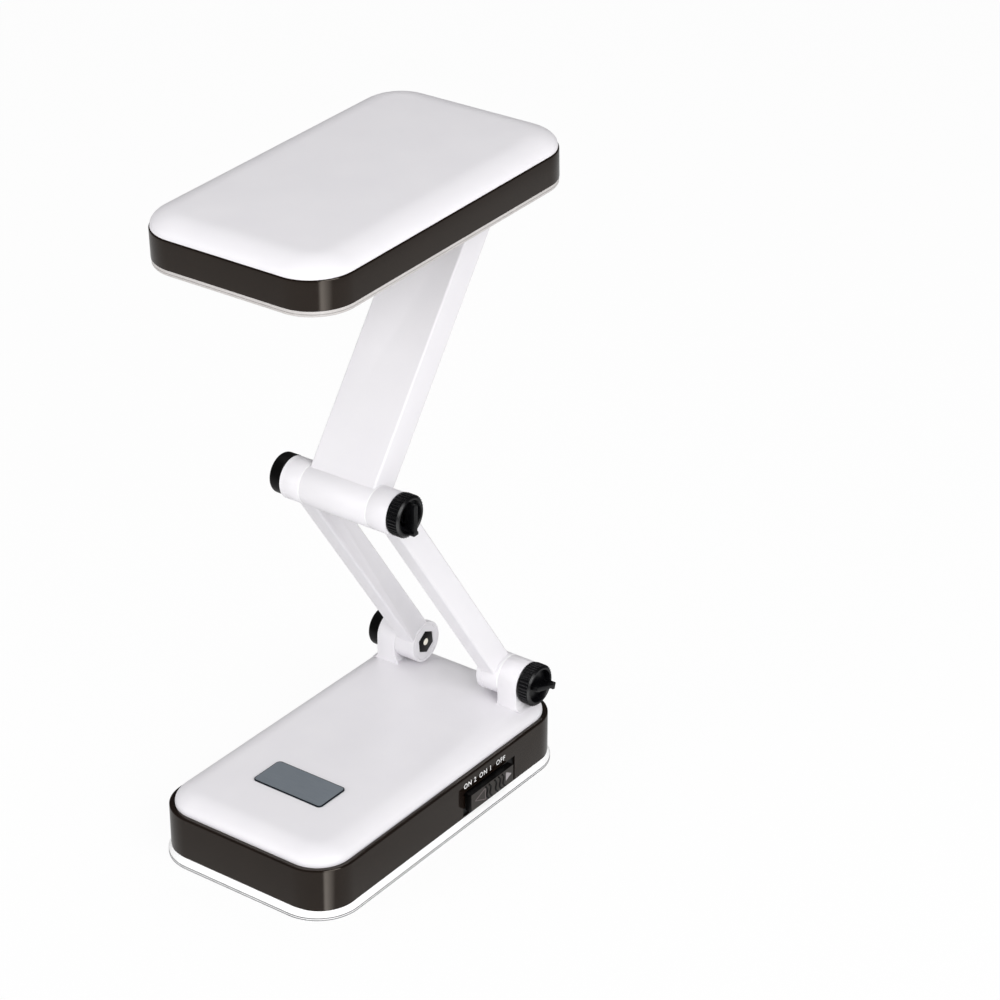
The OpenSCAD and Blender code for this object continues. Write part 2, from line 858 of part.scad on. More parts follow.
module upper_arm() {
    inner_x = panel_w / 2 - panel_wall;
    ledge_x = inner_x - cover_ledge;
    color("white") at_upper_arm() difference() {
        union() {
            difference() {
                union() {
                    rod_x(-mid_barrel_x, mid_barrel_x, barrel_r);
                    bar_y(-panel_w / 2, panel_w / 2, panel_back, panel_face, panel_l, arm_edge);
                }
                channel(channel_start, channel_end, ledge_x, panel_face - panel_wall);
                channel(channel_start - cover_ledge, channel_end + cover_ledge, inner_x,
                        panel_back + cover_plate_t);
                // Room for the head's lugs
                both_sides() along_x(top_barrel_x, panel_w) translate([panel_l - lug_r - 1, -15])
                    square([30, 30]);
            }
            translate([0, panel_l, 0]) rod_x(-top_barrel_x, top_barrel_x, lug_r);
            arm_screw_places() cylinder(r = arm_boss_r, h = panel_face - panel_wall - panel_back
                                        - cover_plate_t + tiny);
        }
        rod_x(-panel_w, panel_w, bore_r);
        translate([0, panel_l, 0]) rod_x(-panel_w, panel_w, head_bore_r);
        arm_screw_places() translate([0, 0, -1]) cylinder(r = arm_screw_r, h = 6);
    }
}

// Hollow of the panel from its back up to the given depth
module channel(start, end, half_w, top) {
    translate([-half_w, start, panel_back - 1]) cube([2 * half_w, end - start, top - panel_back + 1]);
}

module arm_screw_places() {
    for (x = [-1, 1], y = [channel_start + arm_screw_inset, channel_end - arm_screw_inset])
        translate([x * arm_screw_x, y, panel_back + cover_plate_t]) children();
}

module upper_arm_cover() {
    half_w = panel_w / 2 - panel_wall - slip_gap;
    start = channel_start - cover_ledge + slip_gap;
    end = channel_end + cover_ledge - slip_gap;
    color("gainsboro") at_upper_arm() difference() {
        translate([-half_w, start, panel_back]) cube([2 * half_w, end - start, cover_plate_t]);
        arm_screw_places() translate([0, 0, -5]) {
            cylinder(r = arm_screw_r, h = 6);
            cylinder(r = arm_screw_head_r + 0.1, h = 5 - cover_plate_t + arm_screw_head_t);
        }
    }
}

module upper_arm_screws() {
    color("silver") at_upper_arm() arm_screw_places()
        translate([0, 0, -cover_plate_t + arm_screw_head_t])
            pan_screw(arm_screw_head_r, arm_screw_head_t - 0.1, arm_screw_r, 4.5);
}

// ---- Head ----

module head_bracket() {
    plate_low = plate_z - bracket_t;
    color("white") at_head() difference() {
        union() {
            translate([-bracket_w / 2, -bracket_l / 2, plate_low]) cube([bracket_w, bracket_l, bracket_t]);
            both_sides() along_x(lug_x, lug_out_x) {
                circle(lug_r);
                translate([-lug_r, 0]) square([2 * lug_r, plate_low + 1]);
            }
        }
        rod_x(-bracket_w, bracket_w, head_bore_r);
        rod_x(lug_out_x - head_bolt_sink, bracket_w, head_bolt_head_r + 0.15);
        hex_x(-bracket_w, -lug_out_x + head_bolt_sink, head_hex_flats + 2 * hex_gap);
        bracket_screw_places() cylinder(r = arm_screw_r, h = bracket_t + 2);
    }
}

module bracket_screw_places() {
    translate([0, 0, plate_z - bracket_t - 1]) four_corners(bracket_screw_x, bracket_screw_y) children();
}

module bracket_screws() {
    color("silver") at_head() four_corners(bracket_screw_x, bracket_screw_y)
        translate([0, 0, plate_z - bracket_t])
            pan_screw(arm_screw_head_r, 0.6, arm_screw_r, bracket_t + plate_t);
}

module head_hinge_screw() {
    head_x = lug_out_x - head_bolt_sink;
    color("silver") at_head() {
        rod_x(head_x, head_x + 2.3, head_bolt_head_r);
        rod_x(-lug_out_x + 0.3, head_x + tiny, head_bolt_r);
    }
}

module head_hinge_nut() {
    color("silver") at_head() difference() {
        hex_x(-lug_out_x + 0.3, -lug_out_x + head_bolt_sink, head_hex_flats);
        rod_x(-bracket_w, bracket_w, head_bore_r);
    }
}

module head_washers() {
    color("dimgray") both_sides() at_head() ring_x(top_barrel_x, lug_x, lug_r - 1, head_bore_r + 0.2);
}

module led_places() {
    for (i = [0:led_columns - 1], j = [0:led_rows - 1])
        translate([(i - (led_columns - 1) / 2) * led_pitch_x,
                   led_mid_y + (j - (led_rows - 1) / 2) * led_pitch_y, 0]) children();
}

module head_screw_places() {
    translate([0, head_mid_y, 0]) four_corners(head_screw_x, head_screw_y) children();
}

// White plate behind the clear cover, with a hole for each LED
module reflector_plate() {
    plate_w = head_w - 2 * wall - 2 * slip_gap;
    plate_l = head_l - 2 * wall - 2 * slip_gap;
    color("white") at_head() difference() {
        union() {
            translate([0, head_mid_y, plate_z])
                rounded_plate(plate_w, plate_l, head_corner_r - wall - slip_gap, plate_t);
            led_board_corners() translate([0, 0, plate_z + plate_t - tiny])
                cylinder(r = 2.5, h = led_base_z - plate_z - plate_t + tiny);
        }
        led_places() translate([0, 0, plate_z - 1]) cylinder(r = led_r + led_hole_gap, h = 5);
        head_screw_places() translate([0, 0, plate_z - 1]) cylinder(r = case_screw_r, h = plate_t + 2);
        bracket_screw_places() cylinder(r = arm_screw_r, h = 8);
    }
}

module led_board_corners() {
    translate([0, led_mid_y, 0]) four_corners(led_board_w / 2 - 2.5, led_board_l / 2 - 2.5) children();
}

module led_board() {
    color("ivory") at_head() translate([-led_board_w / 2, led_mid_y - led_board_l / 2, led_base_z])
        cube([led_board_w, led_board_l, board_t]);
}

module leds() {
    color("lightyellow") at_head() led_places() translate([0, 0, led_dome_z]) {
        cylinder(r = led_r, h = led_base_z - led_dome_z);
        sphere(led_r);
    }
}

module lens_cover() {
    outer_w = head_w - 2 * lens_inset;
    outer_l = head_l - 2 * lens_inset;
    outer_r = head_corner_r - lens_inset;
    lip_w = head_w - 2 * wall - 2 * slip_gap;
    lip_l = head_l - 2 * wall - 2 * slip_gap;
    lip_r = head_corner_r - wall - slip_gap;
    color("silver") at_head() difference() {
        translate([0, head_mid_y, 0]) {
            translate([0, 0, lens_z]) rounded_plate(outer_w, outer_l, outer_r, lens_t);
            translate([0, 0, lens_z])
                rounded_frame(outer_w, outer_l, outer_r, lens_h, lens_lip_t + wall);
            translate([0, 0, head_hinge_drop - tiny])
                rounded_frame(lip_w, lip_l, lip_r, lens_lip_h + tiny, lens_lip_t);
        }
        // Way for the lugs
        translate([-lug_out_x - 0.5, -lug_r - 0.5, lens_z - 1])
            cube([2 * lug_out_x + 1, 2 * lug_r + 1, lens_t + 2]);
    }
}

module head_band() {
    color("black") at_head() translate([0, head_mid_y, head_hinge_drop])
        band(head_w, head_l, head_corner_r, head_band_h, head_shoulder);
}

module head_top_shell() {
    outer_w = head_w - 2 * head_shell_inset;
    outer_l = head_l - 2 * head_shell_inset;
    skirt_w = head_w - 2 * wall - 2 * slip_gap;
    skirt_l = head_l - 2 * wall - 2 * slip_gap;
    skirt_r = head_corner_r - wall - slip_gap;
    post_top = head_top_z - wall;
    color("white") at_head() difference() {
        union() {
            translate([0, head_mid_y, 0]) {
                translate([0, 0, head_shell_z])
                    dome(outer_w, outer_l, head_corner_r - head_shell_inset, head_dome_h, head_roll);
                translate([0, 0, head_shell_z - skirt_h])
                    rounded_frame(skirt_w, skirt_l, skirt_r, skirt_h + tiny, skirt_t);
                translate([0, 0, post_top]) roof_ribs(head_rib_x, head_rib_y);
            }
            head_screw_places() translate([0, 0, plate_z + plate_t])
                cylinder(r = head_post_r, h = post_top - plate_z - plate_t + tiny);
        }
        head_screw_places() translate([0, 0, plate_z])
            cylinder(r = case_screw_r, h = head_screw_l + 1);
    }
}

module head_screws() {
    color("silver") at_head() head_screw_places() translate([0, 0, plate_z])
        pan_screw(screw_head_r, 1.4, case_screw_r, head_screw_l);
}

base_bottom_cover();
base_band();
base_top_shell();
rubber_feet();
base_screws();
badge_plate();
battery_door();
battery_cells();
battery_contacts();
control_board();
slide_switch();
switch_slider();
left_leg();
right_leg();
base_hinge_nuts();
base_hinge_washers();
left_base_cap();
right_base_knob();
left_base_bolt();
right_base_bolt();
mid_bolt();
mid_cap();
mid_washers();
mid_knob();
mid_nut();
upper_arm();
upper_arm_cover();
upper_arm_screws();
head_bracket();
head_hinge_screw();
head_hinge_nut();
head_washers();
bracket_screws();
reflector_plate();
led_board();
leds();
lens_cover();
head_band();
head_top_shell();
head_screws();
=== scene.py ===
import bpy, bmesh, json, math
from mathutils import Matrix, Vector


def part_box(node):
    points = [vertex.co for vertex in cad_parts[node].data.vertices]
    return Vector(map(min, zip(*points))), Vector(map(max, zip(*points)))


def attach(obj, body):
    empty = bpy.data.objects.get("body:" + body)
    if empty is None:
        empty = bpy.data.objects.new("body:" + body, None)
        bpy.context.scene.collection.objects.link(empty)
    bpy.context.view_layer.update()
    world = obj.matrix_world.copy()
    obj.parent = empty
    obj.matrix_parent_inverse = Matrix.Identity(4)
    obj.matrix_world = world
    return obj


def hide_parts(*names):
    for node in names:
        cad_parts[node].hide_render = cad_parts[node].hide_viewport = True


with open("model.json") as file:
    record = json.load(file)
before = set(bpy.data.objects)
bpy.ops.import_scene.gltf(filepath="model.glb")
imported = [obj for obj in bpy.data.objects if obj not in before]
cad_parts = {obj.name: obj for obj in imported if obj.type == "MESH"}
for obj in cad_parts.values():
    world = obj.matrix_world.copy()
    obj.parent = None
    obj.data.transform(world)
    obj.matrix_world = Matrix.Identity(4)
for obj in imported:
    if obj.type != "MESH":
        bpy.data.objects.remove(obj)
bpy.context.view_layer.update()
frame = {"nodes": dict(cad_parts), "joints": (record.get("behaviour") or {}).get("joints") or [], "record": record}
mm = 0.001
alongX, alongY, alongZ = Vector((1, 0, 0)), Vector((0, 1, 0)), Vector((0, 0, 1))
quarterRound = [15 * i for i in range(7)]  # degrees
joints = {joint["name"]: joint for joint in frame["joints"]}
baseHinge = Vector(joints["base_fold"]["pos_m"])
midHinge = Vector(joints["mid_fold"]["pos_m"])
headHinge = Vector(joints["head_tilt"]["pos_m"])
bodyOf = {node: body for body, nodes in frame["record"]["behaviour"]["bodies"].items() for node in nodes}
print("frame loaded:", len(frame["nodes"]), "nodes")


def linearColor(hexText, alpha=1.0):  # sRGB hex text to the linear colour of a shader socket
    channels = [int(hexText[i:i + 2], 16) / 255 for i in (1, 3, 5)]
    return [c / 12.92 if c <= 0.04045 else ((c + 0.055) / 1.055) ** 2.4 for c in channels] + [alpha]


def addNode(tree, kind, inputs=None, **settings):
    node = tree.nodes.new(kind)
    for key, value in settings.items():
        setattr(node, key, value)
    for key, value in (inputs or {}).items():
        if isinstance(value, bpy.types.NodeSocket):
            tree.links.new(value, node.inputs[key])
        else:
            node.inputs[key].default_value = value
    return node


def combined(tree, first, second, operation):
    return addNode(tree, "ShaderNodeMath", {0: first, 1: second}, operation=operation).outputs[0]


def newMaterial(name, **surface):
    # a named material with its Principled BSDF's plain values set
    material = bpy.data.materials.new(name)
    material.use_nodes = True
    tree = material.node_tree
    shader = tree.nodes["Principled BSDF"]
    for key, value in surface.items():
        shader.inputs[key.replace("_", " ")].default_value = value
    return material, tree, shader


def addBump(tree, shader, noise, strength, reliefMm):
    bump = addNode(tree, "ShaderNodeBump", {
        "Strength": strength, "Distance": reliefMm * mm, "Height": noise.outputs["Fac"]})
    tree.links.new(bump.outputs["Normal"], shader.inputs["Normal"])


def mouldedNoise(tree, grainMm, detail=3):
    # noise whose blobs are about grainMm across on the real piece, mostly between 0.3 and 0.7
    place = addNode(tree, "ShaderNodeTexCoord")
    return addNode(tree, "ShaderNodeTexNoise", {
        "Vector": place.outputs["Object"], "Scale": 1 / (grainMm * mm), "Detail": detail})


def varyRoughness(tree, shader, noise, low, high):
    ramp = addNode(tree, "ShaderNodeMapRange", {
        "Value": noise.outputs["Fac"], "From Min": 0.3, "From Max": 0.7, "To Min": low, "To Max": high})
    tree.links.new(ramp.outputs["Result"], shader.inputs["Roughness"])


def varyColor(tree, shader, noise, darkHex, lightHex):
    mix = addNode(tree, "ShaderNodeMix", {"Factor": noise.outputs["Fac"]}, data_type="RGBA")
    mix.inputs["A"].default_value = linearColor(darkHex)
    mix.inputs["B"].default_value = linearColor(lightHex)
    tree.links.new(mix.outputs["Result"], shader.inputs["Base Color"])


def mouldedFinish(name, colors, roughness, toneGrain, roughGrain=None, bump=None, bumpGrain=None, **surface):
    # grains are (size in mm, detail); roughness and bump follow the tone's where they have none
    material, tree, shader = newMaterial(name, **surface)
    tone = mouldedNoise(tree, *toneGrain)
    varyColor(tree, shader, tone, *colors)
    varyRoughness(tree, shader, mouldedNoise(tree, *roughGrain) if roughGrain else tone, *roughness)
    if bump:
        addBump(tree, shader, mouldedNoise(tree, *bumpGrain) if bumpGrain else tone, *bump)
    return material


def whiteAbsPlastic(name, darkHex, lightHex, low, high):
    # ABS moulded in a polished tool: white with a soft sheen and very faint flow marks
    return mouldedFinish(name, (darkHex, lightHex), (low, high), (22, 2), (3, 3), (0.04, 0.02), (0.6, 3),
                         IOR=1.53)


def blackAbsGloss():
    # ABS pressed in a mirror tool: deep warm black, sharp reflections with a slight waviness
    return mouldedFinish("pressed gloss black ABS", ("#130d0a", "#1b1410"), (0.07, 0.14), (18, 2), (2, 3),
                         (0.05, 0.3), (14, 1), IOR=1.54, Specular_Tint=(1.0, 0.9, 0.8, 1.0))


def blackNylonSatin(name, darkHex, lightHex, low, high, grainMm, relief, sheen=0.5):
    # glass-filled nylon from a spark-eroded tool: dull black with a fine pebble grain
    return mouldedFinish(name, (darkHex, lightHex), (low, high), (grainMm, 4), bump=(relief, 0.06),
                         IOR=1.52, Specular_IOR_Level=sheen)


def softRubber():
    # moulded rubber: dark grey, dull, with a powdery bloom
    return mouldedFinish("moulded dark rubber", ("#1b1b1c", "#2e2e2f"), (0.7, 0.9), (1.5, 4),
                         bump=(0.2, 0.05), IOR=1.5)


def clearStyrene():
    # clear injection-moulded polystyrene: grey and glassy at its thick rim, faintly wavy
    return mouldedFinish("clear moulded styrene", ("#e2e1e0", "#efeeee"), (0.1, 0.2), (12, 1), (3, 3),
                         (0.05, 0.1), (5, 1), IOR=1.57, Transmission_Weight=0.9)


def plainMetal(name, darkHex, lightHex, low, high, grainMm):
    # plated or turned metal with small changes of tone and polish
    return mouldedFinish(name, (darkHex, lightHex), (low, high), (grainMm, 4), Metallic=1.0)


def brushedFoil():
    # aluminium foil plate, brushed lengthwise and lacquered grey-blue
    material, tree, shader = newMaterial("brushed grey-blue foil", Metallic=0.3)
    place = addNode(tree, "ShaderNodeTexCoord")
    stretch = addNode(tree, "ShaderNodeMapping", {"Vector": place.outputs["Object"], "Scale": (1, 40, 1)})
    hair = addNode(tree, "ShaderNodeTexNoise", {
        "Vector": stretch.outputs["Vector"], "Scale": 1 / (8 * mm), "Detail": 5.0})
    varyColor(tree, shader, hair, "#6f7781", "#8f969c")
    varyRoughness(tree, shader, hair, 0.3, 0.45)
    addBump(tree, shader, hair, 0.15, 0.02)
    return material


def boardLaminate(name, darkHex, lightHex):
    # solder mask over a woven glass laminate: a fine weave shows through
    material, tree, shader = newMaterial(name, IOR=1.5)
    place = addNode(tree, "ShaderNodeTexCoord")
    weave = addNode(tree, "ShaderNodeTexChecker", {
        "Vector": place.outputs["Object"], "Scale": 1 / (0.8 * mm)})
    varyColor(tree, shader, weave, darkHex, lightHex)
    varyRoughness(tree, shader, mouldedNoise(tree, 2), 0.25, 0.4)
    return material


def cellSleeve():
    # printed shrink sleeve of a battery cell: green, slightly uneven and shiny
    return mouldedFinish("printed green sleeve", ("#1f5c33", "#2b7443"), (0.25, 0.35), (4, 3), IOR=1.5)


def warmPhosphor():
    # clear epoxy over yellow phosphor: a pale yellow glassy bead
    return mouldedFinish("epoxy over phosphor", ("#efe6b0", "#fbf6d8"), (0.05, 0.12), (1.5, 3), (1, 3),
                         IOR=1.5)


whiteAbs = whiteAbsPlastic("moulded white ABS", "#e3e1e5", "#e9e7ea", 0.3, 0.4)
# a lighter copy of the moulded white; on the bottom cover it is painted light that lifts the shade the band casts
# on the ledge
lightenedWhite = whiteAbsPlastic("satin white ABS lightened against shade", "#f6f6f6", "#fbfbfb", 0.38, 0.5)
blackGloss = blackAbsGloss()
blackNylon = blackNylonSatin("grained black nylon", "#040405", "#0d0d10", 0.24, 0.36, 0.35, 0.25, 0.42)
rubber = softRubber()
clearPlastic = clearStyrene()
zincSteel = plainMetal("zinc-plated steel", "#9a9a98", "#c4c4c2", 0.25, 0.42, 1.5)
brass = plainMetal("turned brass", "#b08d4a", "#d2b16a", 0.2, 0.35, 1.2)
foil = brushedFoil()
fibre = whiteAbsPlastic("pressed grey fibre", "#3a3836", "#4c4947", 0.75, 0.9)
greenBoard = boardLaminate("green solder mask", "#123f22", "#1a5230")
whiteBoard = boardLaminate("white solder mask", "#e4e2dc", "#efeee9")
sleeve = cellSleeve()
phosphor = warmPhosphor()
legendInk = whiteAbsPlastic("pad-printed white ink", "#dedede", "#ececec", 0.5, 0.6)
blackSatin = blackNylonSatin("satin moulded black ABS", "#050505", "#0c0b0b", 0.3, 0.4, 0.6, 0.12, 0.2)
sliderBlack = blackNylonSatin("dark grey-brown satin ABS", "#2b2724", "#36322e", 0.35, 0.5, 0.6, 0.12, 0.5)
# the lens rim's grey is partly its translucence and partly painted shade; the groove's darker grey is painted
# shade
shadedLensRim = whiteAbsPlastic("frosted styrene greyed with painted shade", "#bab6b4", "#c9c5c3", 0.3, 0.4)
rimLine = whiteAbsPlastic("shaded styrene groove", "#858180", "#959190", 0.4, 0.5)
# near-white cream on the bolt's metal end: a painted highlight for its bright glint
boltGlintCream = whiteAbsPlastic("cream painted glint on the bolt end", "#f4efdf", "#fffbee", 0.3, 0.4)
badgeRim = plainMetal("dark etched foil", "#2c3238", "#3c444c", 0.35, 0.5, 1.0)
wornInk = whiteAbsPlastic("worn grey print", "#8d888a", "#aaa5a7", 0.4, 0.55)
faintInk = whiteAbsPlastic("rubbed print outline", "#5f5757", "#766c6c", 0.4, 0.55)
# grey for the lines round the bottom cover: painted shade of a seam groove and of the contact shadow at the floor
shadeLineGrey = whiteAbsPlastic("painted seam and contact shade", "#5c5c5f", "#6a6a6d", 0.5, 0.6)
print("materials made:", len(bpy.data.materials))


def newObject(name, data):
    thing = bpy.data.objects.new(name, data)
    bpy.context.scene.collection.objects.link(thing)
    return thing


def settled(holder):
    # the plain mesh that an object's modifiers or text give; the object itself goes
    mesh = bpy.data.meshes.new_from_object(holder.evaluated_get(bpy.context.evaluated_depsgraph_get()))
    bpy.data.objects.remove(holder)
    return mesh


def joinBmesh(target, mesh):
    target.from_mesh(mesh)
    bpy.data.meshes.remove(mesh)


def finishPiece(name, source, material, slotName, replaced=(), smooth=32):
    # makes a bmesh or a mesh into a piece that rides on the body of the node it dresses
    body = bodyOf[slotName]
    mesh = source
    if isinstance(source, bmesh.types.BMesh):
        mesh = bpy.data.meshes.new(name)
        source.to_mesh(mesh)
        source.free()
    mesh.materials.clear()
    mesh.materials.append(material)
    for face in mesh.polygons:
        face.material_index = 0
    piece = newObject(name, mesh)
    mesh.shade_smooth()
    mesh.set_sharp_from_angle(angle=math.radians(smooth))
    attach(piece, body)
    if replaced:
        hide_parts(*replaced)


def standIn(nodeName, source, material, smooth=32):
    # makes a piece that takes a CAD node's place
    finishPiece(nodeName + "_skin", source, material, nodeName, [nodeName], smooth)


def nodeMesh(nodeName):
    # a merged copy of a CAD node's mesh with its flat faces rejoined
    source = bmesh.new()
    source.from_mesh(frame["nodes"][nodeName].data)
    bmesh.ops.remove_doubles(source, verts=source.verts, dist=0.002 * mm)
    bmesh.ops.dissolve_limit(source, angle_limit=math.radians(0.5), verts=source.verts, edges=source.edges)
    return source


def worked(source, makeModifiers):
    # runs modifiers on a bmesh and returns a plain mesh
    mesh = bpy.data.meshes.new("work")
    source.to_mesh(mesh)
    source.free()
    holder = newObject("work", mesh)
    makeModifiers(holder)
    return settled(holder)


def bevelled(source, width, segments=2, angle=35):
    def makeModifiers(holder):
        bevel = holder.modifiers.new("bevel", "BEVEL")
        bevel.width = width
        bevel.segments = segments
        bevel.limit_method = "ANGLE"
        bevel.angle_limit = math.radians(angle)
    return worked(source, makeModifiers)


def cutAway(source, cutterBmesh):
    cutterMesh = bpy.data.meshes.new("cutter")
    cutterBmesh.to_mesh(cutterMesh)
    cutterBmesh.free()
    cutter = newObject("cutter", cutterMesh)

    def makeModifiers(holder):
        cut = holder.modifiers.new("cut", "BOOLEAN")
        cut.object = cutter
        cut.solver = "EXACT"
    result = worked(source, makeModifiers)
    bpy.data.objects.remove(cutter)
    return result


def softenNode(nodeName, material, width):
    # stands a copy of a CAD node with rounded edges in its place
    standIn(nodeName, bevelled(nodeMesh(nodeName), width * mm), material)


def addLathe(target, profile, start, steps=96):
    # turns (along, radius) pairs in mm about a line along X through start
    rings = []
    for along, radius in profile:
        ring = []
        for i in range(steps if radius > 0 else 1):
            a = 2 * math.pi * i / steps
            point = Vector((along, radius * math.cos(a), radius * math.sin(a)))
            ring.append(target.verts.new(point * mm + start))
        rings.append(ring)
    bridgeRings(target, rings)


def bridgeRings(target, rings):
    # faces between rings of as many points, or of one point at a pole
    for low, high in zip(rings, rings[1:]):
        count = max(len(low), len(high))
        for i in range(count):
            j = (i + 1) % count
            corners = [low[i % len(low)], low[j % len(low)], high[j % len(high)], high[i % len(high)]]
            corners = list(dict.fromkeys(corners))
            if len(corners) > 2:
                target.faces.new(corners)


def roundedLoop(width, length, radius, arcSteps=20):
    # points of a rounded rectangle about the origin
    points = []
    for quarter, (sx, sy) in enumerate(((1, 1), (-1, 1), (-1, -1), (1, -1))):
        for i in range(arcSteps + 1):
            a = math.radians(90 * quarter + 90 * i / arcSteps)
            points.append((sx * (width / 2 - radius) + radius * math.cos(a),
                           sy * (length / 2 - radius) + radius * math.sin(a)))
    return points


def offsetLoop(outline, out, height):
    # a (width, length, radius) outline moved outward, as a loop at a height, all in mm
    width, length, radius = outline
    return width + 2 * out, length + 2 * out, radius + out, height


def addLoops(target, loops, place=Matrix.Identity(4), closed=True):
    # lofts through (width, length, radius, height) loops in mm; closed caps both ends
    rings = [[target.verts.new(place @ (Vector((x, y, height)) * mm)) for x, y in
              roundedLoop(width, length, radius)] for width, length, radius, height in loops]
    bridgeRings(target, rings)
    if closed:
        target.faces.new(list(reversed(rings[0])))
        target.faces.new(rings[-1])
    else:
        bridgeRings(target, [rings[-1], rings[0]])


def addPrism(target, outline, axisX, axisY, axisZ, place, depth):
    # a prism of an outline in mm: axisX and axisY span it, axisZ is its depth direction
    low = [target.verts.new(place + (axisX * x + axisY * y) * mm) for x, y in outline]
    high = [target.verts.new(vert.co + axisZ * depth * mm) for vert in low]
    sides = len(outline)
    target.faces.new(list(reversed(low)))
    target.faces.new(high)
    for i in range(sides):
        target.faces.new((low[i], low[(i + 1) % sides], high[(i + 1) % sides], high[i]))


def addBlock(target, low, high):
    # a box between two corners in mm
    span = Vector(high) - Vector(low)
    middle = (Vector(high) + Vector(low)) / 2
    place = Matrix.Translation(middle * mm) @ Matrix.Diagonal((*(span * mm), 1))
    bmesh.ops.create_cube(target, size=1, matrix=place)


def cleanNormals(source):
    bmesh.ops.remove_doubles(source, verts=source.verts, dist=0.0005 * mm)
    bmesh.ops.recalc_face_normals(source, faces=source.faces)
    return source


def grown(tree, values):
    # runs a Geometry Nodes tree on an empty object and returns its plain mesh
    holder = newObject("grown", bpy.data.meshes.new("grown"))
    modifier = holder.modifiers.new("grown", "NODES")
    modifier.node_group = tree
    sockets = {item.name: item.identifier for item in tree.interface.items_tree if item.in_out == "INPUT"}
    for name, value in values.items():
        modifier[sockets[name]] = value
    return settled(holder)


def newTree(name, inputs):
    # an empty Geometry Nodes tree with named float, integer and material inputs, and what it is given
    tree = bpy.data.node_groups.new(name, "GeometryNodeTree")
    tree.interface.new_socket("Geometry", in_out="OUTPUT", socket_type="NodeSocketGeometry")
    for inputName, value in inputs.items():
        kind = "Int" if isinstance(value, int) else "Material" if value is None else "Float"
        socket = tree.interface.new_socket(inputName, in_out="INPUT", socket_type="NodeSocket" + kind)
        if value is not None:
            socket.default_value = value
    return tree, addNode(tree, "NodeGroupInput").outputs


def endTree(tree, given, instances):
    real = addNode(tree, "GeometryNodeRealizeInstances", {"Geometry": instances})
    dressed = addNode(tree, "GeometryNodeSetMaterial", {
        "Geometry": real.outputs[0], "Material": given["Material"]})
    output = addNode(tree, "NodeGroupOutput")
    tree.links.new(dressed.outputs[0], output.inputs[0])
    return tree


def makeRibTree():
    # round ribs along X, set on a circle about the X axis
    tree, given = newTree("knob ribs", {"Count": 38, "Ring Radius": 0.009, "Rib Radius": 0.0004,
                                        "Rib Length": 0.004, "Material": None})
    circle = addNode(tree, "GeometryNodeCurvePrimitiveCircle", {
        "Resolution": 256, "Radius": given["Ring Radius"]}, mode="RADIUS")
    points = addNode(tree, "GeometryNodeCurveToPoints", {
        "Curve": circle.outputs[0], "Count": given["Count"]}, mode="COUNT")
    rib = addNode(tree, "GeometryNodeMeshCylinder", {
        "Vertices": 8, "Radius": given["Rib Radius"], "Depth": given["Rib Length"]})
    ribs = addNode(tree, "GeometryNodeInstanceOnPoints", {
        "Points": points.outputs["Points"], "Instance": rib.outputs["Mesh"]})
    standing = addNode(tree, "GeometryNodeTransform", {
        "Geometry": ribs.outputs[0], "Rotation": (0, math.radians(90), 0)})
    return endTree(tree, given, standing.outputs[0])


def makeGridTree(name, makeShape, inputs):
    # one shape at every point of a grid
    tree, given = newTree(name, {"Columns": 2, "Rows": 2, "Width": 0.01, "Length": 0.01, **inputs,
                                 "Material": None})
    grid = addNode(tree, "GeometryNodeMeshGrid", {
        "Size X": given["Width"], "Size Y": given["Length"],
        "Vertices X": given["Columns"], "Vertices Y": given["Rows"]})
    shapes = addNode(tree, "GeometryNodeInstanceOnPoints", {
        "Points": grid.outputs["Mesh"], "Instance": makeShape(tree, given)})
    return endTree(tree, given, shapes.outputs[0])


def screwShape(tree, given):
    # a pan head with a cross recess over its shank, head up
    head = addNode(tree, "GeometryNodeMeshCylinder", {
        "Vertices": 40, "Radius": given["Head Radius"], "Depth": given["Head Height"]})
    cross = []
    for turn in (0, 90):
        size = addNode(tree, "ShaderNodeCombineXYZ", {
            0: given["Head Radius"], 1: given["Slot Width"], 2: given["Head Height"]})
        bar = addNode(tree, "GeometryNodeMeshCube", {"Size": size.outputs[0]})
        lift = addNode(tree, "ShaderNodeCombineXYZ", {2: given["Slot Lift"]})
        placed = addNode(tree, "GeometryNodeTransform", {
            "Geometry": bar.outputs[0], "Translation": lift.outputs[0],
            "Rotation": (0, 0, math.radians(turn))})
        cross.append(placed)
    cut = addNode(tree, "GeometryNodeMeshBoolean", {"Mesh 1": head.outputs[0]},
                  operation="DIFFERENCE", solver="EXACT")
    for placed in cross:
        tree.links.new(placed.outputs[0], cut.inputs["Mesh 2"])
    shank = addNode(tree, "GeometryNodeMeshCylinder", {
        "Vertices": 24, "Radius": given["Shank Radius"], "Depth": given["Shank Length"]})
    drop = combined(tree, given["Shank Length"], given["Head Height"], "ADD")
    place = addNode(tree, "ShaderNodeCombineXYZ", {2: combined(tree, drop, -0.5, "MULTIPLY")})
    hung = addNode(tree, "GeometryNodeTransform", {"Geometry": shank.outputs[0],
                                                   "Translation": place.outputs[0]})
    both = addNode(tree, "GeometryNodeJoinGeometry")
    for part in (cut, hung):
        tree.links.new(part.outputs[0], both.inputs[0])
    return both.outputs[0]


def ledShape(tree, given):
    # an epoxy bead: a dome on a barrel
    dome = addNode(tree, "GeometryNodeMeshUVSphere", {"Segments": 24, "Rings": 16,
                                                      "Radius": given["Bead Radius"]})
    barrel = addNode(tree, "GeometryNodeMeshCylinder", {
        "Vertices": 24, "Radius": given["Bead Radius"], "Depth": given["Bead Length"]})
    half = combined(tree, given["Bead Length"], 0.5, "MULTIPLY")
    up = addNode(tree, "ShaderNodeCombineXYZ", {2: half})
    raised = addNode(tree, "GeometryNodeTransform", {"Geometry": barrel.outputs[0],
                                                     "Translation": up.outputs[0]})
    both = addNode(tree, "GeometryNodeJoinGeometry")
    for part in (dome, raised):
        tree.links.new(part.outputs[0], both.inputs[0])
    return both.outputs[0]


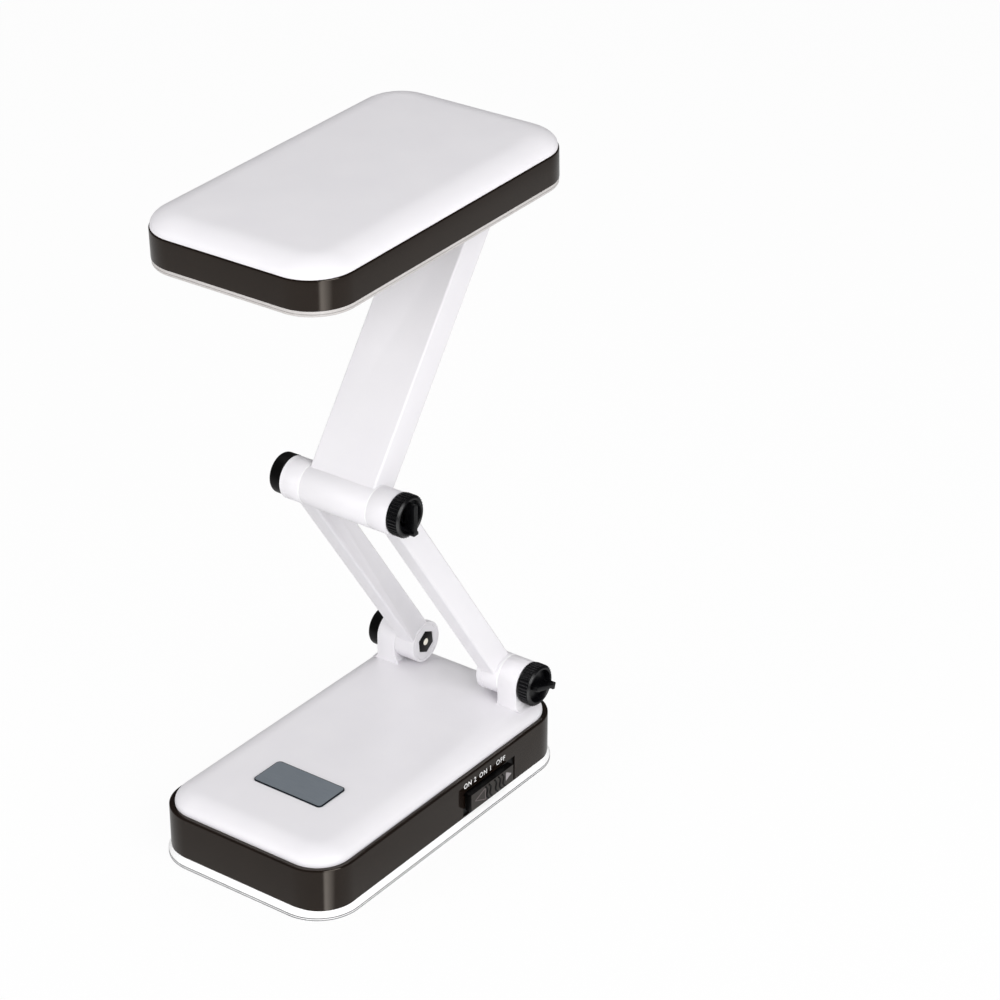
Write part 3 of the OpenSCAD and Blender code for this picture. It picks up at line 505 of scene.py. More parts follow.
ribTree = makeRibTree()
screwTree = makeGridTree("cross-head screws", screwShape, {
    "Head Radius": 0.003, "Head Height": 0.0015, "Slot Width": 0.0006, "Slot Lift": 0.0008,
    "Shank Radius": 0.0014, "Shank Length": 0.008})
ledTree = makeGridTree("led beads", ledShape, {"Bead Radius": 0.0024, "Bead Length": 0.005})
print("node trees built")

camera = {
    "aim": (10.64, 81.46, 116.76),  # mm
    "distance": 1352.25,  # mm
    "azimuth": 36.155,
    "elevation": 28.133,
    "roll": 0.115,
    "lens": 114.02,
    "sensor": 36,
    "shift": (0.00297, -0.00369),
    "nearest": 0.05,  # metres
}


def makeCamera():
    data = bpy.data.cameras.new("camera")
    data.lens = camera["lens"]
    data.sensor_width = camera["sensor"]
    data.shift_x, data.shift_y = camera["shift"]
    data.clip_start = camera["nearest"]
    cameraObject = newObject("camera", data)
    turn = (Matrix.Rotation(math.radians(camera["azimuth"]), 4, "Z")
            @ Matrix.Rotation(math.radians(90 - camera["elevation"]), 4, "X")
            @ Matrix.Rotation(math.radians(camera["roll"]), 4, "Z"))
    back = turn.to_3x3() @ Vector((0, 0, 1))
    place = (Vector(camera["aim"]) + back * camera["distance"]) * mm
    cameraObject.matrix_world = Matrix.Translation(place) @ turn
    bpy.context.scene.camera = cameraObject


studio = {
    "ambient": 0.568,  # what lights matt surfaces from all round
    "cardLevel": 0.46,  # what gloss sees around and below
    "ceilingLevel": 0.05,  # what gloss sees overhead
    "ceilingStart": (-0.38, -0.12),  # upward share of the view where one turns into the other
    "stripLevel": 2.5,  # a tall bright strip that gloss sees
    "stripRise": (-43, -37),  # degrees from +X where the strip sets in
    "stripFall": (-33, -10),  # and where it fades out
    "stripTop": (-0.3, -0.1),  # upward share of the view where it ends
    "lamps": [  # name, place, size and power in watts
        ("right softbox", (1.5, -0.5, 0.9), 1.2, 20.5),
        ("top softbox", (-0.3, 0.3, 1.4), 1.2, 2.2),
        ("front softbox", (-0.6, -1.6, 0.7), 1.0, 12.3),
    ],
    "lampAim": (0, 0.02, 0.13),
    "floorGlow": 0.94,  # share of the floor that the camera sees as plain white
    "floorReach": 3.0,
}


def makeWorld():
    # plain white to the camera, even light for matt surfaces, and cards and a strip for gloss to mirror
    world = bpy.data.worlds.new("studio")
    bpy.context.scene.world = world
    world.use_nodes = True
    tree = world.node_tree
    tree.nodes.clear()
    place = addNode(tree, "ShaderNodeTexCoord")
    parts = addNode(tree, "ShaderNodeSeparateXYZ", {0: place.outputs["Generated"]})

    def ramp(value, fromRange, toRange):
        node = addNode(tree, "ShaderNodeMapRange", {
            "Value": value, "From Min": fromRange[0], "From Max": fromRange[1],
            "To Min": toRange[0], "To Max": toRange[1]})
        return node.outputs[0]

    ceiling = ramp(parts.outputs[2], studio["ceilingStart"], (studio["cardLevel"], studio["ceilingLevel"]))
    heading = combined(tree, parts.outputs[1], parts.outputs[0], "ARCTAN2")
    rise = ramp(heading, [math.radians(a) for a in studio["stripRise"]], (0.0, 1.0))
    fall = ramp(heading, [math.radians(a) for a in studio["stripFall"]], (1.0, 0.0))
    strip = combined(tree, combined(tree, rise, fall, "MULTIPLY"), studio["stripLevel"], "MULTIPLY")
    lit = combined(tree, strip, ramp(parts.outputs[2], studio["stripTop"], (1.0, 0.0)), "MULTIPLY")
    path = addNode(tree, "ShaderNodeLightPath")
    seen = combined(tree, path.outputs["Is Camera Ray"], path.outputs["Is Transmission Ray"], "MAXIMUM")
    plain = addNode(tree, "ShaderNodeMix", {
        "Factor": path.outputs["Is Glossy Ray"], "A": studio["ambient"],
        "B": combined(tree, ceiling, lit, "ADD")})
    strength = addNode(tree, "ShaderNodeMix", {"Factor": seen, "A": plain.outputs[0], "B": 1.0})
    background = addNode(tree, "ShaderNodeBackground", {
        "Color": (1, 1, 1, 1), "Strength": strength.outputs[0]})
    output = addNode(tree, "ShaderNodeOutputWorld")
    tree.links.new(background.outputs[0], output.inputs["Surface"])


def makeLamps():
    aim = Vector(studio["lampAim"])
    for name, place, size, power in studio["lamps"]:
        data = bpy.data.lights.new(name, "AREA")
        data.shape = "SQUARE"
        data.size = size
        data.energy = power
        lamp = newObject(name, data)
        lamp.location = place
        lamp.rotation_euler = (aim - Vector(place)).to_track_quat("-Z", "Y").to_euler()
        lamp.visible_glossy = name != "front softbox"


def makeFloor():
    # nearly white to the camera, with the lamp's soft shadow, and open to gloss, which sees the cards
    material, tree, shader = newMaterial("pale studio floor", Roughness=0.6)
    shader.inputs["Base Color"].default_value = linearColor("#f2f2f2")
    path = addNode(tree, "ShaderNodeLightPath")
    glow = addNode(tree, "ShaderNodeEmission", {"Color": (1, 1, 1, 1), "Strength": 1.0})
    share = combined(tree, path.outputs["Is Camera Ray"], studio["floorGlow"], "MULTIPLY")
    mix = addNode(tree, "ShaderNodeMixShader", {0: share, 1: shader.outputs[0], 2: glow.outputs[0]})
    clear = addNode(tree, "ShaderNodeBsdfTransparent")
    openMix = addNode(tree, "ShaderNodeMixShader", {
        0: path.outputs["Is Glossy Ray"], 1: mix.outputs[0], 2: clear.outputs[0]})
    tree.links.new(openMix.outputs[0], tree.nodes["Material Output"].inputs["Surface"])
    mesh = bpy.data.meshes.new("floor")
    reach = studio["floorReach"]
    mesh.from_pydata([(-reach, -reach, 0), (reach, -reach, 0), (reach, reach, 0), (-reach, reach, 0)], [],
                     [(0, 1, 2, 3)])
    mesh.materials.append(material)
    floor = newObject("floor", mesh)


makeCamera()
makeWorld()
makeLamps()
makeFloor()
scene = bpy.context.scene
scene.view_settings.view_transform = "Standard"
print("camera, light and floor set")


dome = {
    "lip": 0.5,  # straight edge over the band
    "steps": 14,
    "smallest": 2.0,  # corner radius that the inner loops keep
    "wall": 2.0,
    "crown": 0.35,  # rise of the middle over the rounded edge's end
    "crownSteps": 4,
    "crownShare": 0.9,  # share of the width over which it rises
    "base": {"inset": 2.4, "spread": 10.7, "rise": 6.9, "foot": 24.55},
    "head": {"inset": 0.5, "spread": 12.5, "rise": 6.9, "foot": 24.45},
}


def domeLoops(outline, spec, wall=0.0):
    # loops from the foot of a dome to its flat middle, pulled in by a wall for the inner face
    loops = [offsetLoop(outline, -wall, spec["foot"])]
    rise = spec["rise"] - dome["lip"] - dome["crown"] - wall
    for i in range(dome["steps"] + 1):
        a = math.radians(90 * i / dome["steps"])
        width, length, radius, height = offsetLoop(outline, -wall - spec["spread"] * (1 - math.cos(a)),
                                                   spec["foot"] + dome["lip"] + rise * math.sin(a))
        loops.append((width, length, max(radius, dome["smallest"]), height))
    return loops


def makeDome(spec, wallSpec, place):
    # a hollow shell over a band: a rolled edge and a slightly raised middle
    shell = bmesh.new()
    outline = offsetLoop(wallSpec["outline"], -spec["inset"], 0)[:3]
    outer = domeLoops(outline, spec)
    lastWidth, lastLength, lastRadius, lastHeight = outer[-1]
    for i in range(1, dome["crownSteps"] + 1):
        share = i / dome["crownSteps"]
        pull = dome["crownShare"] * share
        outer.append((lastWidth * (1 - pull), lastLength - lastWidth * pull, lastRadius * (1 - pull),
                      lastHeight + dome["crown"] * math.sin(math.radians(90 * share))))
    inner = domeLoops(outline, spec, dome["wall"])
    addLoops(shell, list(reversed(inner)) + outer, place)
    return cleanNormals(shell)


ear = {
    "edge": 0.5, "flare": 3.0, "levels": 8, "arcSteps": 24,
    "innerFlare": 0.35,  # the inner face flares by this share of the outer one's
    "sunk": 0.6,  # foot under the badge's underside
    "sides": {-1: (27.8, 37.3), 1: (28.3, 38.1)},  # inner and outer faces from the middle
    "webWidth": 2.2, "webHeight": 5.4, "webThick": 1.2, "webIn": 0.3, "webFront": 9.05,
    "webWaist": (1.4, 2.4),  # where its slope bends
}


def earFoot():
    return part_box("badge_plate")[0][2] / mm - ear["sunk"]


def addEar(shell, side):
    # an upright with a round top, whose sides flare where it grows out of the dome
    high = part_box("base_top_shell")[1]
    innerX, outerX = ear["sides"][side]
    hinge = baseHinge / mm
    radius = high[2] / mm - hinge.z
    foot = earFoot()
    rings = []  # height, flare and half depth
    for i in range(ear["levels"] + 1):
        rise = ear["flare"] * i / ear["levels"]
        out = ear["flare"] - math.sqrt(ear["flare"] ** 2 - (ear["flare"] - rise) ** 2)
        rings.append((foot + rise, out, radius))
    rings.append((hinge.z, 0.0, radius))
    for i in range(1, ear["arcSteps"] // 2):
        a = math.radians(180 * i / ear["arcSteps"])
        rings.append((hinge.z + radius * math.sin(a), 0.0, radius * math.cos(a)))
    loops = []
    for z, out, half in rings:
        x0, x1 = innerX - out * ear["innerFlare"], outerX + out
        points = [(x0, -half), (x1, -half), (x1, half), (x0, half)]
        loops.append([shell.verts.new(Vector((side * x, hinge.y + y, z)) * mm) for x, y in points])
    bridgeRings(shell, loops)
    shell.faces.new(loops[0])
    shell.faces.new(loops[-1])


def addWeb(shell, side):
    # a small gusset at the ear's inner foot, in front of the leg's barrel
    innerX = ear["sides"][side][0] + ear["webIn"]
    foot = earFoot()
    waistX, waistZ = ear["webWaist"]
    outline = [(-innerX, foot), (-innerX + ear["webWidth"], foot), (-innerX + waistX, foot + waistZ),
               (-innerX, foot + ear["webHeight"])]
    addPrism(shell, [(-side * x, z) for x, z in outline], alongX, alongZ, alongY,
             Vector((0, baseHinge.y - ear["webFront"] * mm, 0)), ear["webThick"])


band = {  # width, length and corner, height range and edge radii in mm; the head's heights start at its hinge
    "base": {"outline": (92.5, 165.0, 17.9), "low": 5.0, "top": 24.65, "shoulder": 0.7, "foot": 0.3,
             "wall": 2.2},
    "head": {"outline": (94.0, 162.0, 19.0), "low": 11.95, "top": 24.6, "shoulder": 0.7, "foot": 0.3,
             "wall": 2.0},
}


def makeBand(spec, place):
    # a closed wall: a rounded shoulder at the top, a small one at the foot and a straight inside
    loops = []
    for edge, sign, start in ((spec["foot"], -1, spec["low"] + spec["foot"]),
                              (spec["shoulder"], 1, spec["top"] - spec["shoulder"])):
        for degrees in quarterRound if sign > 0 else reversed(quarterRound):
            a = math.radians(degrees)
            loops.append(offsetLoop(spec["outline"], -edge * (1 - math.cos(a)),
                                    start + sign * edge * math.sin(a)))
    loops += [offsetLoop(spec["outline"], -spec["wall"], height) for height in (spec["top"], spec["low"])]
    ring = bmesh.new()
    addLoops(ring, loops, place, closed=False)
    return cleanNormals(ring)


notch = {  # the recess round the switch and the way through the wall behind it
    "front": 9.1, "back": 45.9, "low": 5.9, "top": 17.6, "corner": 1.6, "depth": 0.9,
    "wayFront": 9.4, "wayBack": 37.4, "wayLow": 9.6, "wayTop": 16.0, "wayDeep": 4.0,
    "cutReach": 3.0,  # from the recess's floor outward
    "skin": 0.2,  # what the way leaves under the band's face, outside the recess
    "liner": 0.15, "linerSunk": 0.1,  # how far the dark floor, painted shade laid in the recess, stands out of the recess's own, and in
}


def makeNotch():
    # what is cut from the band, a recess rounded at its front upper corner and a slot, and its dark floor of
    # painted shade
    cutter = bmesh.new()
    faceX, corner = band["base"]["outline"][0] / 2, notch["corner"]
    spans = alongY, alongZ, alongX
    outline = [(notch["front"], notch["low"]), (notch["back"], notch["low"]), (notch["back"], notch["top"])]
    for degrees in quarterRound:
        a = math.radians(90 + degrees)
        outline.append((notch["front"] + corner + corner * math.cos(a),
                        notch["top"] - corner + corner * math.sin(a)))
    wayStart = (faceX - notch["wayDeep"], notch["wayFront"], notch["wayLow"])
    floorX = faceX - notch["depth"]
    addPrism(cutter, outline, *spans, Vector((floorX, 0, 0)) * mm, notch["cutReach"])
    addBlock(cutter, wayStart, (faceX - notch["skin"], notch["wayBack"], notch["wayTop"]))
    # a matt black sheet on the recess's floor: painted shade, as the recess is dark only from shade
    liner = bmesh.new()
    addPrism(liner, outline, *spans, Vector((floorX - notch["linerSunk"], 0, 0)) * mm,
             notch["linerSunk"] + notch["liner"])
    hole = bmesh.new()
    addBlock(hole, wayStart, (faceX, notch["wayBack"], notch["wayTop"]))
    finishPiece("notch_shade_floor", cutAway(cleanNormals(liner), hole), blackSatin, "base_band")
    return cleanNormals(cutter)


lensRim = {  # how far in from the band's face and down from its foot each edge lies
    "rim": [(2.6, -0.2), (0.15, -0.2), (0.15, 1.05), (0.35, 1.2), (0.35, 1.4), (0.2, 1.55), (0.25, 2.0),
            (0.55, 2.4), (1.2, 2.6), (2.6, 2.6)],
    "groove": [(0.33, 1.15), (0.33, 1.45), (1.0, 1.45), (1.0, 1.15)],
}


def makeLensRim(place):
    # the edge of the lens cover under the band: a pale rim greyed with painted shade, with a fine groove darkened
    # by painted shade
    spec = band["head"]
    for name, edges, material in (("lens_rim", lensRim["rim"], shadedLensRim),
                                  ("lens_rim_groove", lensRim["groove"], rimLine)):
        ring = bmesh.new()
        addLoops(ring, [offsetLoop(spec["outline"], -inset, spec["low"] - drop) for inset, drop in edges],
                 place, closed=False)
        finishPiece(name, cleanNormals(ring), material, "lens_cover")


head = {
    "back": 16.2,  # how far it reaches behind its hinge, in mm
    "pitch": 2.0,  # degrees as it is set up
}


def makeCasings():
    # bands, domes and hinge ears of the base and the head
    level = Matrix.Identity(4)
    standIn("base_band", cutAway(makeBand(band["base"], level), makeNotch()), blackGloss)
    standIn("base_top_shell", makeDome(dome["base"], band["base"], level), whiteAbs, 50)
    for side, name in ((-1, "left"), (1, "right")):
        upright = bmesh.new()
        addEar(upright, side)
        if side < 0:
            addWeb(upright, side)
        cleanNormals(upright)
        finishPiece(name + "_ear_skin", bevelled(upright, ear["edge"] * mm, 3, 50), whiteAbs,
                    "base_top_shell")
    middle = Vector((0, head["back"] - band["head"]["outline"][1] / 2, 0)) * mm
    turn = Matrix.Rotation(math.radians(head["pitch"]), 4, "X")
    place = Matrix.Translation(headHinge) @ turn @ Matrix.Translation(middle)
    standIn("head_band", makeBand(band["head"], place), blackGloss)
    standIn("head_top_shell", makeDome(dome["head"], band["head"], place), whiteAbs, 50)
    makeLensRim(place)


switch = {
    "front": 10.2, "back": 40.4, "low": 9.0, "top": 17.5,  # the cap's face
    "under": 46.4, "face": 49.6, "edge": 0.3,
    "neckFront": 14.6, "neckBack": 36.9, "neckLow": 10.2, "neckTop": 15.4, "neckIn": 41.5,
    "grooves": [21.4, 23.8, 27.8, 30.6, 33.1],  # places along the base
    "grooveBow": 1.5, "grooveWidth": 1.0, "grooveRise": 0.3, "grooveLean": 1.1, "grooveEnd": 0.9,
    "plateRise": 0.05, "plateOver": 0.1,  # how far the plate stands out and reaches over the rounded edge
    "overlap": 0.2, "bowPoints": 16,
    "frontArrow": [(13.0, 0.0), (20.0, 2.7), (20.4, -2.9)],  # place along the base, height over the middle
    "backArrow": [(34.8, 2.9), (34.8, -1.3), (38.8, 0.6)],
    "arrowLine": 0.4, "arrowRise": 0.1,
}


def addStrip(target, points, width, rise, place):
    # a raised strip along points given as (along Y, up Z) in mm on a face whose outward side is +X
    rows = []
    for i, (y, z) in enumerate(points):
        nextPoint = points[min(i + 1, len(points) - 1)]
        last = points[max(i - 1, 0)]
        along = Vector((nextPoint[0] - last[0], nextPoint[1] - last[1])).normalized()
        side = Vector((-along.y, along.x)) * width / 2
        rows.append([target.verts.new(place + Vector((x, y + s * side.x, z + s * side.y)) * mm)
                     for x, s in ((0, -1), (rise, -0.6), (rise, 0.6), (0, 1))])
    for low, high in zip(rows, rows[1:]):
        for i in range(4):
            target.faces.new((low[i], low[(i + 1) % 4], high[(i + 1) % 4], high[i]))
    target.faces.new(rows[0])
    target.faces.new(list(reversed(rows[-1])))


def makeSwitch():
    # a cap that slides over the recess on a neck through the wall, with wavy grips and two arrows
    capBody = bmesh.new()
    addBlock(capBody, (switch["under"], switch["front"], switch["low"]),
             (switch["face"], switch["back"], switch["top"]))
    standIn("switch_slider", bevelled(capBody, switch["edge"] * mm, 3, 50), blackSatin)
    plate = bmesh.new()
    inset = switch["edge"] - switch["plateOver"]
    addBlock(plate, (switch["face"] - switch["overlap"], switch["front"] + inset, switch["low"] + inset),
             (switch["face"] + switch["plateRise"], switch["back"] - inset, switch["top"] - inset))
    finishPiece("slider_face", plate, sliderBlack, "switch_slider")
    neck = bmesh.new()
    addBlock(neck, (switch["neckIn"], switch["neckFront"], switch["neckLow"]),
             (switch["under"] + switch["overlap"], switch["neckBack"], switch["neckTop"]))
    finishPiece("switch_neck", neck, blackSatin, "switch_slider")
    face = Vector((switch["face"] + switch["plateRise"], 0, (switch["low"] + switch["top"]) / 2)) * mm
    ridges = bmesh.new()
    reach = (switch["top"] - switch["low"]) / 2 - switch["grooveEnd"]
    for place in switch["grooves"]:
        points = []
        for i in range(switch["bowPoints"] + 1):
            t = -1 + 2 * i / switch["bowPoints"]
            bow = switch["grooveBow"] * math.sin(t * math.pi) * 0.5
            points.append((place - switch["grooveLean"] * t + bow, reach * t))
        addStrip(ridges, points, switch["grooveWidth"], switch["grooveRise"], face)
    finishPiece("slider_ridges", cleanNormals(ridges), blackSatin, "switch_slider")
    arrows = bmesh.new()
    outline = switch["frontArrow"]
    for a, b in zip(outline, outline[1:] + outline[:1]):
        middle = ((a[0] + b[0]) / 2, (a[1] + b[1]) / 2)
        addStrip(arrows, [a, middle, b], switch["arrowLine"], switch["arrowRise"], face)
    finishPiece("slider_front_arrow", cleanNormals(arrows), faintInk, "switch_slider")
    solid = bmesh.new()
    addPrism(solid, switch["backArrow"], alongY, alongZ, alongX, face, switch["arrowRise"])
    finishPiece("slider_back_arrow", cleanNormals(solid), wornInk, "switch_slider")


legend = {
    "words": [("ON 2", 9.6), ("ON 1", 20.5), ("OFF", 32.5)],  # word and its place along the base in mm
    "capHeight": 2.35,
    "height": 19.35,  # of the letters' foot over the table
    "thickness": 0.06,
    "boldness": 0.07,
    "spacing": 1.2,
    "capShare": 0.72,  # height of a capital as a share of the type's size
}


def makeLegend():
    # generic switch positions, pad-printed on the band
    faceX = band["base"]["outline"][0] / 2 * mm
    for index, (word, place) in enumerate(legend["words"]):
        curve = bpy.data.curves.new("legend", "FONT")
        curve.body = word
        curve.size = legend["capHeight"] / legend["capShare"] * mm
        curve.space_character = legend["spacing"]
        curve.extrude = legend["thickness"] / 2 * mm
        curve.offset = legend["boldness"] * mm
        mesh = settled(newObject("legend", curve))
        turn = Matrix(((0, 0, 1, faceX), (1, 0, 0, place * mm), (0, 1, 0, legend["height"] * mm),
                       (0, 0, 0, 1)))
        mesh.transform(turn)
        finishPiece("switch_legend_%d" % (index + 1), mesh, legendInk, "base_band")


badge = {"rim": 0.45, "rimRise": 0.08, "corner": 2.0, "proud": 0.12, "edge": 0.1}


def makeBadge():
    # a bare plate: a brushed field inside a fine dark rim
    low, high = (Vector(corner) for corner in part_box("badge_plate"))
    mid, extent = (low + high) / 2, (high - low) / mm
    place = Matrix.Translation((mid.x, mid.y, 0))
    bottom, top = low.z / mm, high.z / mm + badge["proud"]
    plate = bmesh.new()
    outline, edge = (extent.x, extent.y, badge["corner"]), badge["edge"]
    addLoops(plate, [offsetLoop(outline, 0, bottom), offsetLoop(outline, 0, top - edge),
                     offsetLoop(outline, -edge, top)], place)
    finishPiece("badge_rim", cleanNormals(plate), badgeRim, "badge_plate", ["badge_plate"])
    field = bmesh.new()
    addLoops(field, [offsetLoop(outline, -badge["rim"], top - edge),
                     offsetLoop(outline, -badge["rim"], top + badge["rimRise"])], place)
    finishPiece("badge_field", cleanNormals(field), foil, "badge_plate")


knob = {
    "profile": [(0, 0), (0, 8.9), (0.25, 9.15), (1.0, 9.2), (1.15, 8.9), (5.3, 8.9), (5.5, 9.1), (6.2, 8.3),
                (6.2, 7.5), (5.9, 7.2), (3.6, 6.6), (3.6, 0)],
    "ribs": 38, "ribCentre": 8.9, "ribRadius": 0.52, "ribStart": 1.1, "ribLength": 4.3,
    "finFloor": 3.5, "finTop": 8.9, "finHalf": 1.15, "finTail": -6.6, "finPoint": 7.9, "finTip": 0.9,
    "finEdge": 0.35, "headLength": 1.5, "headHalf": 1.6, "tailLength": 1.2, "tailShare": 0.7,
    "headShoulder": 0.4,
}


def makeKnob(name, hinge, startX, finAngle, scale):
    # a ribbed wheel with a dished face, and a finger fin with a blunt head across it
    wheel = bmesh.new()
    addLathe(wheel, knob["profile"], Vector((0, 0, 0)), 128)
    cleanNormals(wheel)
    ribs = grown(ribTree, {"Count": knob["ribs"], "Ring Radius": knob["ribCentre"] * mm,
                           "Rib Radius": knob["ribRadius"] * mm, "Rib Length": knob["ribLength"] * mm,
                           "Material": blackNylon})
    ribs.transform(Matrix.Translation(Vector((knob["ribStart"] + knob["ribLength"] / 2, 0, 0)) * mm))
    joinBmesh(wheel, ribs)
    fin = bmesh.new()
    half, tail, point, tip = knob["finHalf"], knob["finTail"], knob["finPoint"], knob["finTip"]
    neck, wide = point - knob["headLength"], knob["headHalf"]
    upper = [(point, wide), (neck, wide), (neck - knob["headShoulder"], tip),
             (tail + knob["tailLength"], half), (tail, half * knob["tailShare"])]
    outline = [(y, -z) for y, z in reversed(upper)] + upper
    addPrism(fin, outline, alongY, alongZ, alongX, alongX * knob["finFloor"] * mm,
             knob["finTop"] - knob["finFloor"])
    cleanNormals(fin)
    joinBmesh(wheel, bevelled(fin, knob["finEdge"] * mm, 3, 30))
    place = (Matrix.Translation(hinge + Vector((startX, 0, 0)) * mm)
             @ Matrix.Rotation(math.radians(finAngle), 4, "X") @ Matrix.Diagonal((1, scale, scale, 1)))
    wheel.transform(place)
    standIn(name, wheel, blackNylon, 35)


cap = {"edge": 1.5, "foot": (0.3, 0.4)}  # rounded outer edge, and the chamfer at the ear


def makeCap(name, hinge, startX, length, radius):
    # a smooth cap with a rounded outer edge, facing -X
    wheel = bmesh.new()
    chamferAlong, chamferIn = cap["foot"]
    profile = [(0, 0), (0, radius - chamferIn), (chamferAlong, radius)]
    for degrees in quarterRound:
        a = math.radians(degrees)
        profile.append((length - cap["edge"] * (1 - math.sin(a)), radius - cap["edge"] * (1 - math.cos(a))))
    profile.append((length, 0))
    addLathe(wheel, [(-along, r) for along, r in profile], hinge + Vector((startX, 0, 0)) * mm, 128)
    standIn(name, cleanNormals(wheel), blackSatin, 35)


collar = {
    "face": 17.1, "radius": 9.4, "recess": 1.3, "hexRadius": 5.6, "hexTurn": 36.0, "lift": 0.35,
    "seatReach": 1.0,  # how far the seat's cutter stands out of the face
    "back": 20.0,
    "ring": [(0.25, 0.0), (0.0, 0.25), (0.0, 1.1), (0.25, 1.35), (0.25, 1.6), (0.08, 1.8)],  # deep, inward
    "nutGap": 0.15, "nutDeep": 0.15, "nutEdge": 0.12,
    "boltRadius": 1.85, "boltTip": [(0.35, 0.0), (0.1, 0.3), (0.0, 0.8)],
}


def hexOutline(radius, turn):
    return [(radius * math.cos(math.radians(turn + 60 * i)), radius * math.sin(math.radians(turn + 60 * i)))
            for i in range(6)]


def makeCollar(side, leg, bolt):
    # the inner end of a leg's foot barrel: a raised rim, a shallow ring and a hexagon seat with its nut
    face, radius = collar["face"], collar["radius"]
    centre = baseHinge + alongZ * collar["lift"] * mm
    disc = bmesh.new()
    profile = [(collar["back"], 0), (collar["back"], radius)]
    profile += [(face + deep, radius - inward) for deep, inward in collar["ring"]]
    profile.append((profile[-1][0], 0))
    addLathe(disc, [(side * along, r) for along, r in profile], centre)
    cleanNormals(disc)
    seatFloor = face + collar["recess"]
    floorPlace = centre + alongX * side * seatFloor * mm
    spans = alongY, alongZ, alongX * -side
    seat = bmesh.new()
    addPrism(seat, hexOutline(collar["hexRadius"], collar["hexTurn"]), *spans, floorPlace,
             collar["recess"] + collar["seatReach"])
    finishPiece(leg + "_collar", cutAway(disc, cleanNormals(seat)), whiteAbs, leg)
    nut = bmesh.new()
    addPrism(nut, hexOutline(collar["hexRadius"] - collar["nutGap"], collar["hexTurn"]), *spans, floorPlace,
             collar["recess"] - collar["nutDeep"])
    finishPiece(leg + "_nut_face", bevelled(cleanNormals(nut), collar["nutEdge"] * mm, 2, 30), blackSatin,
                "base_hinge_nuts")
    # the bolt end's cream colour is a painted highlight for the bright metal
    end = bmesh.new()
    profile = [(seatFloor, 0), (seatFloor, collar["boltRadius"])]
    profile += [(face + deep, collar["boltRadius"] - inward) for deep, inward in collar["boltTip"]]
    addLathe(end, [(side * along, r) for along, r in profile + [(face, 0)]], centre, 48)
    finishPiece(bolt + "_end", cleanNormals(end), boltGlintCream, bolt)


hinges = {
    "midLift": 0.6,
    "baseKnobTurn": -18, "midKnobTurn": -90, "midKnobBack": 0.6, "midKnobScale": 0.965,
    "capRadius": 8.75, "baseCapLength": 5.6, "baseCapGap": 0.1, "midCapStart": -27.1, "midCapLength": 6.1,
    "legRing": [(-25.2, 0), (-25.2, 9.12), (-26.95, 9.12), (-27.1, 8.97), (-27.1, 0)],
    "washerRadius": 8.95,
    "washers": {"base_hinge_washers": ((-27.85, -27.6), (27.6, 28.35)),
                "mid_washers": ((-17.55, -16.85), (16.85, 17.55))},
}


def makeHingeTrim():
    # knobs, caps, washers and the barrels' inner ends
    raised = midHinge + alongZ * hinges["midLift"] * mm
    lifted = baseHinge + alongZ * collar["lift"] * mm
    makeKnob("right_base_knob", baseHinge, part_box("right_base_knob")[0][0] / mm, hinges["baseKnobTurn"], 1.0)
    makeKnob("mid_knob", raised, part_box("mid_knob")[0][0] / mm - hinges["midKnobBack"],
             hinges["midKnobTurn"], hinges["midKnobScale"])
    makeCap("left_base_cap", lifted, -ear["sides"][-1][1] - hinges["baseCapGap"], hinges["baseCapLength"],
            hinges["capRadius"])
    makeCap("mid_cap", raised, hinges["midCapStart"], hinges["midCapLength"], hinges["capRadius"])
    ring = bmesh.new()
    addLathe(ring, hinges["legRing"], midHinge)
    finishPiece("left_leg_ring_edge", cleanNormals(ring), whiteAbs, "left_leg")
    for name, spans in hinges["washers"].items():
        discs = bmesh.new()
        radius = hinges["washerRadius"]
        for low, high in spans:
            addLathe(discs, [(low, 0), (low, radius), (high, radius), (high, 0)],
                     baseHinge if name.startswith("base") else midHinge)
        standIn(name, cleanNormals(discs), lightenedWhite)
    makeCollar(-1, "left_leg", "left_base_bolt")
    makeCollar(1, "right_leg", "right_base_bolt")


cover = {
    "slopeLow": 2.6, "slopeIn": 1.35, "slopeHigh": 5.6, "corner": 20.0, "edge": 0.25,
    "cutterClear": 2, "proud": 0.08, "shadeLineDeep": 0.4,
    "shadeLines": [(2.15, 0.4, "upper"), (1.25, 0.35, "lower")],  # height, width and name
}


def makeCover():
    # the bottom cover with its rim sloped up to the band, and two fine grey lines round it: painted shade, the
    # upper one in its seam groove and the lower one as the contact shadow at the floor
    low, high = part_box("base_bottom_cover")
    outline = ((high[0] - low[0]) / mm, (high[1] - low[1]) / mm, cover["corner"])
    foot, top, clear = cover["slopeLow"], cover["slopeHigh"], cover["cutterClear"]
    cutter = bmesh.new()
    addLoops(cutter, [offsetLoop(outline, out, height) for out, height in
                      ((-cover["slopeIn"], top), (clear, top), (clear, foot), (0, foot))], closed=False)
    body = bmesh.new()
    joinBmesh(body, cutAway(nodeMesh("base_bottom_cover"), cleanNormals(cutter)))
    # the lighter white here paints out the band's shade on the cover's ledge
    standIn("base_bottom_cover", bevelled(body, cover["edge"] * mm, 2, 20), lightenedWhite)
    proud, deep = cover["proud"], -cover["shadeLineDeep"]
    # each strip is painted shade: the upper one in the seam groove, the lower one the contact shadow at the floor
    for height, rise, name in cover["shadeLines"]:
        strip = bmesh.new()
        loops = [offsetLoop(outline, out, z) for out, z in
                 ((proud, height), (proud, height + rise), (deep, height + rise), (deep, height))]
        addLoops(strip, loops, closed=False)
        finishPiece("cover_shade_line_" + name, cleanNormals(strip), shadeLineGrey, "base_bottom_cover")


screws = {
    "base_screws": {"headRadius": 2.8, "headHeight": 1.8, "shankRadius": 1.4, "shankLength": 14},
    "head_screws": {"headRadius": 2.8, "headHeight": 1.4, "shankRadius": 1.4, "shankLength": 8},
}


